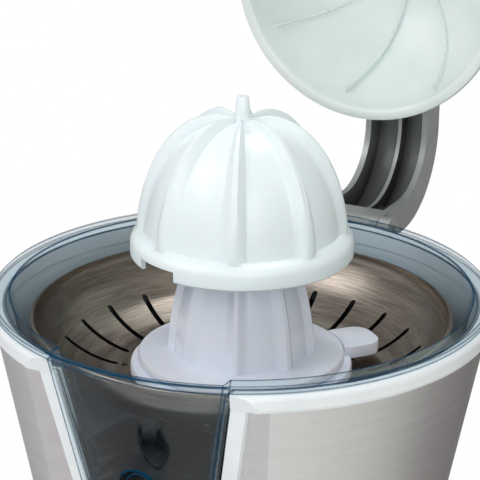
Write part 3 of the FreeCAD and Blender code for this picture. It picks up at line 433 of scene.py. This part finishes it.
class Finishes:
    """All materials, and the dressing of the CAD nodes."""

    def __init__(self) -> None:
        """Make every material."""
        self.made = {key: finish.make() for key, finish in FINISHES.items()}

    def dress(self) -> int:
        """Give every CAD node its material.

        Returns:
            How many nodes were dressed.
        """
        for node, piece in frame["nodes"].items():
            slot = SLOTS[node]
            key = NODE_FINISH.get(node, SLOT_FINISH.get(slot, slot))
            for place in piece.material_slots:
                place.material = self.made[key]
        return len(frame["nodes"])


Profile = list[tuple[float, float]]


def bow(start: tuple[float, float], end: tuple[float, float], steps: int, turn: float = 90.0) -> Profile:
    """Return points of a curve that leaves the start level and has turned by an angle at the end.

    Args:
        start: First radius and height, in millimetres.
        end: Last radius and height.
        steps: Number of steps.
        turn: The angle in degrees.

    Returns:
        The points as radius and height.
    """
    full = math.radians(turn)
    points = []
    for number in range(steps + 1):
        angle = full * number / steps
        across = math.sin(angle) / math.sin(full)
        along = (1 - math.cos(angle)) / (1 - math.cos(full))
        points.append((start[0] + (end[0] - start[0]) * across, start[1] + (end[1] - start[1]) * along))
    return points


class Bench:
    """Hand-modelling steps shared by the pieces."""

    @staticmethod
    def mode(name: str) -> None:
        """Go to edit or object mode.

        Args:
            name: EDIT or OBJECT.
        """
        bpy.ops.object.mode_set(mode=name)

    @staticmethod
    def take(*pieces: bpy.types.Object) -> None:
        """Select pieces and make the first one active.

        Args:
            *pieces: The pieces.
        """
        bpy.ops.object.select_all(action="DESELECT")
        for piece in pieces:
            piece.select_set(True)
        bpy.context.view_layer.objects.active = pieces[0]

    @staticmethod
    def rings(name: str, profile: Profile, segments: int, closed: bool = False) -> bpy.types.Object:
        """Pull a circle along a profile, ring by ring.

        Args:
            name: The piece's name.
            profile: Radius and height of each ring, in millimetres.
            segments: Corners of the circle.
            closed: Whether the last ring meets the first one; if not, both ends are drawn together.

        Returns:
            The piece.
        """
        bpy.ops.object.select_all(action="DESELECT")
        radius, height = profile[0]
        place = (0, 0, height * MM)
        bpy.ops.mesh.primitive_circle_add(vertices=segments, radius=radius * MM, location=place)
        piece = bpy.context.object
        piece.name = name
        bpy.ops.object.transform_apply(location=True)
        Bench.mode("EDIT")
        bpy.ops.mesh.select_mode(type="VERT")
        bpy.ops.mesh.select_all(action="SELECT")
        for radius_next, height_next in profile[1:]:
            lift = (0, 0, (height_next - height) * MM)
            bpy.ops.mesh.extrude_edges_move(TRANSFORM_OT_translate={"value": lift})
            grow = radius_next / radius
            bpy.ops.transform.resize(value=(grow, grow, 1), center_override=(0, 0, height_next * MM))
            radius, height = radius_next, height_next
        if closed:
            bpy.ops.mesh.select_all(action="DESELECT")
            bpy.ops.mesh.select_non_manifold()
            bpy.ops.mesh.bridge_edge_loops()
        else:
            bpy.ops.mesh.select_all(action="SELECT")
            bpy.ops.mesh.remove_doubles(threshold=SAME_PLACE * MM)
        bpy.ops.mesh.select_all(action="SELECT")
        bpy.ops.mesh.normals_make_consistent(inside=False)
        Bench.mode("OBJECT")
        return piece

    @staticmethod
    def pick(piece: bpy.types.Object, corners: list[int]) -> None:
        """Select corners of a piece and go to edit mode.

        Args:
            piece: The piece, active and in object mode.
            corners: Numbers of the corners.
        """
        for group in (piece.data.vertices, piece.data.edges, piece.data.polygons):
            group.foreach_set("select", [False] * len(group))
        for number in corners:
            piece.data.vertices[number].select = True
        Bench.mode("EDIT")
        bpy.ops.mesh.select_mode(type="VERT")

    @staticmethod
    def cut(piece: bpy.types.Object, tool: bpy.types.Object) -> None:
        """Cut a tool's shape out of a piece and delete the tool.

        Args:
            piece: The piece that is cut.
            tool: The cutting shape.
        """
        step = piece.modifiers.new("cut", "BOOLEAN")
        step.object = tool
        step.operation = "DIFFERENCE"
        step.solver = "EXACT"
        Bench.take(piece)
        bpy.ops.object.modifier_apply(modifier=step.name)
        bpy.data.objects.remove(tool)

    @staticmethod
    def bar(name: str, low: Vector, high: Vector, round_mm: float, turn: float = 0.0) -> bpy.types.Object:
        """Make a bar with rounded upright edges.

        Args:
            name: The bar's name.
            low: Lowest corner in millimetres.
            high: Highest corner in millimetres.
            round_mm: Radius of its upright edges.
            turn: Angle about the upright axis, in degrees.

        Returns:
            The bar.
        """
        bpy.ops.object.select_all(action="DESELECT")
        bpy.ops.mesh.primitive_cube_add(size=1, location=(low + high) / 2 * MM)
        bar = bpy.context.object
        bar.name = name
        bar.scale = (high - low) * MM
        bpy.ops.object.transform_apply(location=True, scale=True)
        uprights = [edge.index for edge in bar.data.edges if abs(Bench.run(bar, edge).z) > 0.9]
        Bench.mode("EDIT")
        bpy.ops.mesh.select_mode(type="EDGE")
        bpy.ops.mesh.select_all(action="DESELECT")
        Bench.mode("OBJECT")
        for number in uprights:
            bar.data.edges[number].select = True
        Bench.mode("EDIT")
        bpy.ops.mesh.bevel(offset=round_mm * MM, segments=4, affect="EDGES")
        Bench.mode("OBJECT")
        bar.rotation_euler = (0, 0, math.radians(turn))
        bpy.ops.object.transform_apply(rotation=True)
        return bar

    @staticmethod
    def run(piece: bpy.types.Object, edge: bpy.types.MeshEdge) -> Vector:
        """Return an edge's direction.

        Args:
            piece: The piece the edge belongs to.
            edge: The edge.

        Returns:
            The unit direction.
        """
        first, last = (piece.data.vertices[number].co for number in edge.vertices)
        return (last - first).normalized()

    @staticmethod
    def settle(
        piece: bpy.types.Object, material: bpy.types.Material, body: str, node: str, angle: float = 32.0
    ) -> None:
        """Smooth a piece, dress it and let it stand for a CAD node.

        Args:
            piece: The finished piece.
            material: Its material.
            body: The body it rides on.
            node: The node it stands for.
            angle: Edges sharper than this stay sharp, in degrees.
        """
        Bench.take(piece)
        bpy.ops.object.shade_smooth_by_angle(angle=math.radians(angle))
        piece.data.materials.clear()
        piece.data.materials.append(material)
        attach(piece, body)
        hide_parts(node)


@dataclass
class RibbedCone:
    """A reaming cone whose ribs rise from foot to crest along part of its profile."""

    name: str
    inside: Profile
    panel: Profile
    outside: Profile
    crest: Profile
    spread: float = 8.0
    columns: int = 24
    flat_top: float = 1.3

    def build(self) -> bpy.types.Object:
        """Model the cone and raise its ribs.

        Returns:
            The cone.
        """
        profile = self.inside + self.panel + self.outside
        segments = RIBS * self.columns
        cone = Bench.rings(f"{self.name}_smooth", profile, segments)
        for (radius, height), (crest, crest_height) in zip(self.panel, self.crest):
            self.raise_ring(cone, radius, height, crest, crest_height)
        log.info("%s has %d rings", self.name, len(profile))
        return cone

    def raise_ring(
        self, cone: bpy.types.Object, radius: float, height: float, crest: float, top: float
    ) -> None:
        """Lift a ring's corners near each rib towards the crest.

        Args:
            cone: The cone.
            radius: The ring's radius.
            height: The ring's height.
            crest: The crest's radius at this ring.
            top: The crest's height at this ring.
        """
        pitch = 360 / RIBS
        step = pitch / self.columns
        near = SAME_PLACE * MM
        found: dict[int, list[int]] = {}
        for corner in cone.data.vertices:
            reach = math.hypot(corner.co.x, corner.co.y)
            if abs(reach - radius * MM) > near or abs(corner.co.z - height * MM) > near:
                continue
            angle = math.degrees(math.atan2(corner.co.y, corner.co.x)) - RIB_TURN
            off = (angle + pitch / 2) % pitch - pitch / 2
            place = round(abs(off) / step)
            if abs(off) < self.spread:
                found.setdefault(place, []).append(corner.index)
        for place, corners in found.items():
            share = min(1.0, max(0.0, (1 - place * step / self.spread) * self.flat_top))
            grow = (radius + (crest - radius) * share) / radius
            Bench.pick(cone, corners)
            bpy.ops.transform.resize(value=(grow, grow, 1), center_override=(0, 0, height * MM))
            bpy.ops.transform.translate(value=(0, 0, (top - height) * share * MM))
            Bench.mode("OBJECT")


@dataclass
class Cones:
    """The small cone on its disc and the large cone with its skirt and peg."""

    disc_low: float = LIP - 28.3
    disc_top: float = LIP - 24.5
    disc_radius: float = 39.5
    small_radius: float = 26.2
    small_height: float = 46.5
    skirt_low: float = LIP + 15.0
    skirt_top: float = LIP + 25.0
    skirt_radius: float = 42.3
    large_radius: float = 37.3
    large_height: float = 43.0
    stem_radius: float = 6.0
    stem_low: float = LIP + 20.0
    hub_radius: float = 9.0
    socket_radius: float = 4.8
    socket_roof: float = 215.2
    bore_floor: float = 217.0
    small_spread: float = 8.6
    peg_height: float = 9.0
    notch_half: float = 9.5
    notch_height: float = 4.5
    notch_turn: float = -114.0
    steps: int = 14
    sharp: float = 38.0

    def small(self, material: bpy.types.Material) -> None:
        """Model the small cone.

        Args:
            material: Its material.
        """
        top = self.disc_top + self.small_height
        foot = self.disc_top + 0.5
        knee = self.disc_top + self.small_height * 0.62
        side = self.small_radius - 2.6
        bore = self.stem_radius + 0.3
        panel = bow((bore + 1.2, top - 0.4), (self.small_radius - 0.6, foot), self.steps + 6, 80)
        crest = bow((bore + 3.2, top + 0.8), (self.small_radius + 2.0, foot), self.steps + 6, 80)
        inside = [(AXIS, self.bore_floor), (bore, self.bore_floor), (bore, top - 1.0)]
        outside = [
            (self.disc_radius - 1.6, self.disc_top),
            (self.disc_radius - 0.5, self.disc_top - 0.35),
            (self.disc_radius, self.disc_top - 1.2),
            (self.disc_radius, self.disc_low + 0.8),
            (self.disc_radius - 0.8, self.disc_low),
            (self.small_radius - 3.4, self.disc_low),
            (side - 2.4, knee - 2),
            (self.hub_radius, top - 7.0),
            (self.hub_radius, self.disc_low),
            (self.socket_radius, self.disc_low),
            (self.socket_radius, self.socket_roof),
            (AXIS, self.socket_roof),
        ]
        cone = RibbedCone("small_cone", inside, panel, outside, crest, self.small_spread).build()
        Bench.settle(cone, material, "small_cone", "small_cone", self.sharp)

    def large(self, material: bpy.types.Material) -> None:
        """Model the large cone with the notch in its skirt.

        Args:
            material: Its material.
        """
        top = self.skirt_top + self.large_height
        peg = top + self.peg_height
        inner = bow((self.stem_radius, top - 3.6), (self.large_radius - 2.4, self.skirt_top - 1), 8, 84)
        inside = [(AXIS, self.stem_low), (self.stem_radius, self.stem_low), *inner]
        inside += [
            (self.skirt_radius - 2.2, self.skirt_low + 5),
            (self.skirt_radius - 2.2, self.skirt_low),
            (self.skirt_radius - 0.8, self.skirt_low),
            (self.skirt_radius, self.skirt_low + 0.8),
            (self.skirt_radius, self.skirt_low + 5.5),
            (self.skirt_radius - 0.8, self.skirt_low + 7.5),
            (self.skirt_radius - 2.6, self.skirt_top - 1.0),
        ]
        foot, rib_foot = (self.large_radius, self.skirt_top), (self.large_radius + 2.7, self.skirt_top)
        panel = bow((4.2, top - 0.6), foot, self.steps, 84)[::-1]
        crest = bow((9.5, top + 1.6), rib_foot, self.steps, 84)[::-1]
        outside = [(3.5, top + 0.6), (2.9, top + 3.0), (2.2, peg - 0.5), (1.8, peg - 0.1), (AXIS, peg - 0.1)]
        cone = RibbedCone("large_cone", inside, panel, outside, crest).build()
        low = Vector((30, -self.notch_half, self.skirt_low - 1))
        high = Vector((50, self.notch_half, self.skirt_low + self.notch_height))
        Bench.cut(cone, Bench.bar("notch", low, high, 0.5, self.notch_turn))
        Bench.settle(cone, material, "large_cone", "large_cone", self.sharp)


@dataclass
class Wiper:
    """The ring below the small cone with its one rounded wing."""

    low: float = LIP - 33.2
    top: float = LIP - 28.6
    radius: float = 42.5
    bore: float = 4.9
    under: float = 14.0
    roof: float = LIP - 30.4
    disc_room: float = 39.9
    wing_turn: float = 49.0
    wing_low: float = LIP - 30.0
    wing_top: float = LIP - 25.2
    wing_round: float = 6.5
    wing_soft: float = 0.9

    def build(self, material: bpy.types.Material) -> None:
        """Model the ring and its wing.

        Args:
            material: Their material.
        """
        profile = [
            (self.bore, self.roof),
            (self.under, self.roof),
            (self.under, self.low + 0.7),
            (self.radius - 3, self.low + 0.7),
            (self.radius - 3, self.low),
            (self.radius - 0.8, self.low),
            (self.radius, self.low + 0.8),
            (self.radius, self.top - 1.5),
            (self.radius - 0.45, self.top - 0.45),
            (self.radius - 1.5, self.top),
            (self.bore, self.top),
        ]
        ring = Bench.rings("wiper_smooth", profile, CORNERS, closed=True)
        low = Vector((34.0, -13.0, self.wing_low))
        high = Vector((54.5, 6.0, self.wing_top))
        wing = Bench.bar("wing", low, high, self.wing_round, self.wing_turn)
        room = [(AXIS, self.top), (self.disc_room, self.top), (self.disc_room, LIP), (AXIS, LIP)]
        Bench.cut(wing, Bench.rings("disc_room", room, CORNERS))
        soft = wing.modifiers.new("soft", "BEVEL")
        soft.width = self.wing_soft * MM
        soft.segments = 3
        soft.limit_method = "ANGLE"
        soft.angle_limit = math.radians(50)
        bpy.ops.object.modifier_apply(modifier=soft.name)
        Bench.take(ring, wing)
        bpy.ops.object.join()
        Bench.settle(ring, material, "wiper", "pulp_wiper", 40)


@dataclass
class Sieve:
    """The slotted steel bowl."""

    rim: float = LIP - 9.5
    floor: float = LIP - 35.0
    radius: float = 80.6
    flat: float = 44.0
    hole: float = 13.3
    skin: float = 0.8
    slots: int = 24
    slot_half: float = 1.15
    long_slot: tuple[float, float] = (48.5, 69.5)
    short_slot: tuple[float, float] = (44.6, 46.8)
    steps: int = 16
    segments: int = 192

    def build(self, material: bpy.types.Material) -> None:
        """Model the bowl and cut its slots.

        Args:
            material: The bowl's material.
        """
        under = bow((self.flat, self.floor - self.skin), (self.radius - 1.2, self.rim - 2.6), self.steps, 65)
        over = bow((self.flat, self.floor), (self.radius - 1.6, self.rim - 2.2), self.steps, 65)
        profile = [
            (self.hole, self.floor - self.skin),
            *under,
            (self.radius, self.rim - 2.0),
            (self.radius, self.rim - 0.4),
            (self.radius - 0.4, self.rim),
            (self.radius - 1.4, self.rim),
            *reversed(over),
            (self.hole, self.floor),
        ]
        bowl = Bench.rings("sieve_smooth", profile, self.segments, closed=True)
        tools = []
        for number in range(self.slots):
            for near, far in (self.long_slot, self.short_slot):
                low = Vector((near, -self.slot_half, self.floor - 5))
                high = Vector((far, self.slot_half, self.rim + 5))
                tools.append(Bench.bar("slot", low, high, self.slot_half * 0.95, 360 * number / self.slots))
        Bench.take(*tools)
        bpy.ops.object.join()
        Bench.cut(bowl, tools[0])
        Bench.settle(bowl, material, "sieve", "sieve", 30)
        log.info("sieve has %d slots", len(tools))


@dataclass
class Dome:
    """The press dome with its thin curved ribs, modelled lowered and then raised about the hinge."""

    rim: float = LIP + 1.5
    depth: float = 47.0
    wall: float = 2.5
    radius: float = 58.0
    pivot: tuple[float, float] = (101.5, 228.0)
    rise: float = -92.0
    rib_height: float = 2.0
    rib_steps: int = 30
    rib_start: float = 7.0
    rib_curve: float = 14.0
    rib_thick: float = 0.9
    rib_depth: float = 0.4
    rib_room: float = 50.0
    tooth: float = 0.985
    head_radius: float = 4.2
    shank_radius: float = 1.6
    inner: Profile = field(default_factory=list)

    def build(self, material: bpy.types.Material) -> None:
        """Model the bowl and its ribs.

        Args:
            material: The dome's material.
        """
        apex = self.rim + self.depth
        self.inner = bow((AXIS, apex), (self.radius - 4.6, self.rim + 5), 20, 86)
        outer = bow((AXIS, apex + self.wall), (self.radius - 1.4, self.rim + 5), 20, 86)
        profile = [
            *self.inner,
            (self.radius - 4.6, self.rim + 1.6),
            (self.radius - 4.2, self.rim + 0.5),
            (self.radius - 3.4, self.rim),
            (self.radius - 1.2, self.rim),
            (self.radius - 0.3, self.rim + 0.4),
            (self.radius, self.rim + 1.4),
            (self.radius, self.rim + 3.6),
            *reversed(outer),
        ]
        bowl = Bench.rings("dome_smooth", profile, CORNERS)
        ribs = [self.rib(360 * number / RIBS) for number in range(RIBS)]
        Bench.take(bowl, *ribs)
        bpy.ops.object.join()
        self.swing_up(bowl)
        Bench.settle(bowl, material, "arm", "press_dome", 35)

    def screw(self, material: bpy.types.Material) -> None:
        """Model the dome's screw: a low head with a cross slot and a shank that ends inside the arm.

        Args:
            material: The screw's material.
        """
        apex = self.rim + self.depth
        tip = apex + self.wall + 1.8
        profile = [
            (AXIS, apex - 2.6),
            (self.head_radius - 1.3, apex - 2.5),
            (self.head_radius - 0.3, apex - 1.9),
            (self.head_radius, apex - 1.2),
            (self.head_radius, apex),
            (self.shank_radius, apex),
            (self.shank_radius, tip - 0.3),
            (self.shank_radius - 0.3, tip),
            (AXIS, tip),
        ]
        piece = Bench.rings("dome_screw_short", profile, 48)
        for turn in (45.0, 135.0):
            low = Vector((-2.4, -0.5, apex - 4.0))
            Bench.cut(piece, Bench.bar("slot", low, Vector((2.4, 0.5, apex - 1.4)), 0.2, turn))
        self.swing_up(piece)
        Bench.settle(piece, material, "arm", "dome_screw")

    def swing_up(self, piece: bpy.types.Object) -> None:
        """Turn a piece from the pressing position up about the hinge.

        Args:
            piece: The piece, modelled lowered.
        """
        Bench.take(piece)
        hinge = Vector((0, self.pivot[0] * MM, self.pivot[1] * MM))
        swing = Matrix.Rotation(math.radians(self.rise), 4, "X")
        piece.matrix_world = Matrix.Translation(hinge) @ swing @ Matrix.Translation(-hinge)
        bpy.ops.object.transform_apply(location=True, rotation=True, scale=True)

    def surface(self, radius: float) -> float:
        """Return the inner surface's height at a radius.

        Args:
            radius: Distance from the dome's axis.

        Returns:
            The height in millimetres.
        """
        for (near, high), (far, low) in zip(self.inner, self.inner[1:]):
            if near <= radius <= far:
                return high + (low - high) * (radius - near) / (far - near)
        return self.inner[-1][1]

    def rib(self, turn: float) -> bpy.types.Object:
        """Model one blade that curves from the middle to the rim, with a toothed edge.

        Args:
            turn: The blade's angle about the dome's axis, in degrees.

        Returns:
            The blade.
        """
        first, last = self.rib_start, self.radius - 5.4
        path = []
        for number in range(self.rib_steps + 1):
            reach = first + (last - first) * number / self.rib_steps
            angle = math.radians(turn + self.rib_curve * (reach / last) ** 2)
            height = self.surface(reach) + self.rib_depth
            path.append(Vector((reach * math.cos(angle), reach * math.sin(angle), height)) * MM)
        bpy.ops.object.select_all(action="DESELECT")
        bpy.ops.mesh.primitive_plane_add(size=MM, location=path[0])
        blade = bpy.context.object
        blade.name = "dome_rib"
        bpy.ops.object.transform_apply(location=True)
        Bench.mode("EDIT")
        bpy.ops.mesh.select_mode(type="VERT")
        bpy.ops.mesh.select_all(action="SELECT")
        bpy.ops.mesh.merge(type="CENTER")
        for near, far in zip(path, path[1:]):
            bpy.ops.mesh.extrude_region_move(TRANSFORM_OT_translate={"value": far - near})
        bpy.ops.mesh.select_all(action="SELECT")
        bpy.ops.mesh.extrude_edges_move(TRANSFORM_OT_translate={"value": (0, 0, 0)})
        middle = (0, 0, (self.rim + 4) * MM)
        sink = 1 - self.rib_height / self.rib_room
        bpy.ops.transform.resize(value=(sink, sink, sink), center_override=middle)
        Bench.mode("OBJECT")
        edge = [corner.index for corner in blade.data.vertices if corner.index > self.rib_steps]
        Bench.pick(blade, edge[::2])
        bpy.ops.transform.resize(value=(self.tooth, self.tooth, self.tooth), center_override=middle)
        Bench.mode("OBJECT")
        plate = blade.modifiers.new("plate", "SOLIDIFY")
        plate.thickness = self.rib_thick * MM
        plate.offset = 0
        bpy.ops.object.modifier_apply(modifier=plate.name)
        return blade


@dataclass
class Studio:
    """Camera at the photograph's angle, soft lights and a white surround."""

    azimuth: float = 25.5
    elevation: float = 21.3
    distance: float = 1.1
    focal_px: float = 2893.0
    picture_px: float = 480.0
    lip_centre_px: tuple[float, float] = (242.0, 289.0)
    roll: float = 0.4
    target: Vector = field(default_factory=lambda: Vector((0, 0, LIP * MM)))
    glow: float = 0.8
    back_wall: str = "D0D0D1"
    lamps: tuple[tuple[str, tuple[float, float, float], float, float], ...] = (
        ("key", (-0.9, -1.0, 1.5), 1.0, 9.0),
        ("fill", (0.9, -1.4, 0.9), 1.0, 6.0),
        ("top", (0.1, 0.5, 1.9), 0.9, 10.0),
    )
    walls: tuple[tuple[float, str], ...] = (
        (0.08, "F2F2F2"),
        (0.17, "D4D0D4"),
        (0.27, "FCFCFC"),
        (0.4, "F4F6F3"),
        (0.5, "DEDFDB"),
        (0.6, "A09D9C"),
        (0.72, "7C7A78"),
        (0.83, "8C8B8A"),
        (0.94, "BDBCBC"),
    )

    def camera(self) -> None:
        """Place the camera so that the container's lip falls where the photograph has it."""
        az, el = math.radians(self.azimuth), math.radians(self.elevation)
        away = Vector((math.sin(az) * math.cos(el), -math.cos(az) * math.cos(el), math.sin(el)))
        right = Vector((math.cos(az), math.sin(az), 0))
        up = away.cross(right)
        pixel = self.distance / self.focal_px
        middle = self.picture_px / 2
        aim = self.target + right * (middle - self.lip_centre_px[0]) * pixel
        aim = aim + up * (self.lip_centre_px[1] - middle) * pixel
        place = self.target + away * self.distance
        look = (place - aim).normalized()
        side = Vector((0, 0, 1)).cross(look).normalized()
        top = look.cross(side)
        turn = Matrix((side, top, look)).transposed() @ Matrix.Rotation(math.radians(self.roll), 3, "Z")
        data = bpy.data.cameras.new("view")
        data.angle = 2 * math.atan(middle / self.focal_px)
        lens = bpy.data.objects.new("view", data)
        lens.matrix_world = Matrix.Translation(place) @ turn.to_4x4()
        bpy.context.scene.collection.objects.link(lens)
        bpy.context.scene.camera = lens

    def lamp(self, name: str, place: tuple[float, float, float], size: float, power: float) -> None:
        """Hang a soft square lamp that faces the object.

        Args:
            name: The lamp's name.
            place: Where it hangs, in metres.
            size: Its side in metres.
            power: Its power in watts.
        """
        data = bpy.data.lights.new(name, "AREA")
        data.size = size
        data.energy = power
        lamp = bpy.data.objects.new(name, data)
        lamp.location = place
        lamp.rotation_euler = (Vector(place) - self.target).to_track_quat("Z", "Y").to_euler()
        bpy.context.scene.collection.objects.link(lamp)

    def wall_shade(self, g: Graph, way: bpy.types.NodeSocket) -> bpy.types.NodeSocket:
        """Return the colour of the studio's light and dark walls, by direction round the object.

        Args:
            g: The node tree.
            way: The direction.

        Returns:
            The colour output.
        """
        parts = g.add("SeparateXYZ", None, Vector=way).outputs
        turn = g.add("Math", {"operation": "ARCTAN2"}, in0=parts["Y"], in1=parts["X"]).outputs["Value"]
        share = g.add("MapRange", None, Value=turn, From_Min=-math.pi, From_Max=math.pi).outputs["Result"]
        shade = g.add("ValToRGB", None, Fac=share)
        stops = shade.color_ramp.elements
        stops[0].color = stops[1].color = linear(self.back_wall)
        for position, colour in self.walls:
            stops.new(position).color = linear(colour)
        return shade.outputs["Color"]

    def surround(self) -> None:
        """Make the world light, white where the camera looks straight at it."""
        g = Graph("surround", world=True)
        shade = self.wall_shade(g, g.add("TexCoord").outputs["Generated"])
        lit = g.add("Background", None, Color=shade, Strength=self.glow)
        seen = g.add("Background", None, Color=(1, 1, 1, 1))
        path = g.add("LightPath").outputs["Is Camera Ray"]
        bpy.context.scene.world = g.finish(g.blend(path, lit, seen))

    def paint(self) -> bpy.types.Material:
        """Return the floor's paint, white to the camera and shaded like the walls to all else."""
        g = Graph("floor_paint")
        rough = g.add("BsdfDiffuse", None, Color=self.wall_shade(g, g.position()))
        seen = g.add("Emission", None, Color=(1, 1, 1, 1), Strength=1.0)
        path = g.add("LightPath").outputs["Is Camera Ray"]
        return g.finish(g.blend(path, rough, seen))

    def floor(self) -> None:
        """Lay a pale floor under the object."""
        bpy.ops.object.select_all(action="DESELECT")
        bpy.ops.mesh.primitive_plane_add(size=6, location=(0, 0, 0))
        plane = bpy.context.object
        plane.name = "floor"
        plane.data.materials.append(self.paint())

    def build(self) -> None:
        """Set up the whole studio."""
        self.camera()
        self.surround()
        self.floor()
        for lamp in self.lamps:
            self.lamp(*lamp)
        bpy.context.scene.view_settings.view_transform = "Standard"


def main() -> None:
    """Dress the nodes, model the smooth pieces and set up the studio."""
    logging.basicConfig(level=logging.INFO)
    finishes = Finishes()
    log.info("dressed %d nodes", finishes.dress())
    cones = Cones()
    cones.small(finishes.made["small"])
    cones.large(finishes.made["large"])
    Wiper().build(finishes.made["small"])
    Sieve().build(finishes.made["sieve_steel"])
    dome = Dome()
    dome.build(finishes.made["dome"])
    dome.screw(finishes.made["bright"])
    Studio().build()


if __name__ == "__main__":
    main()
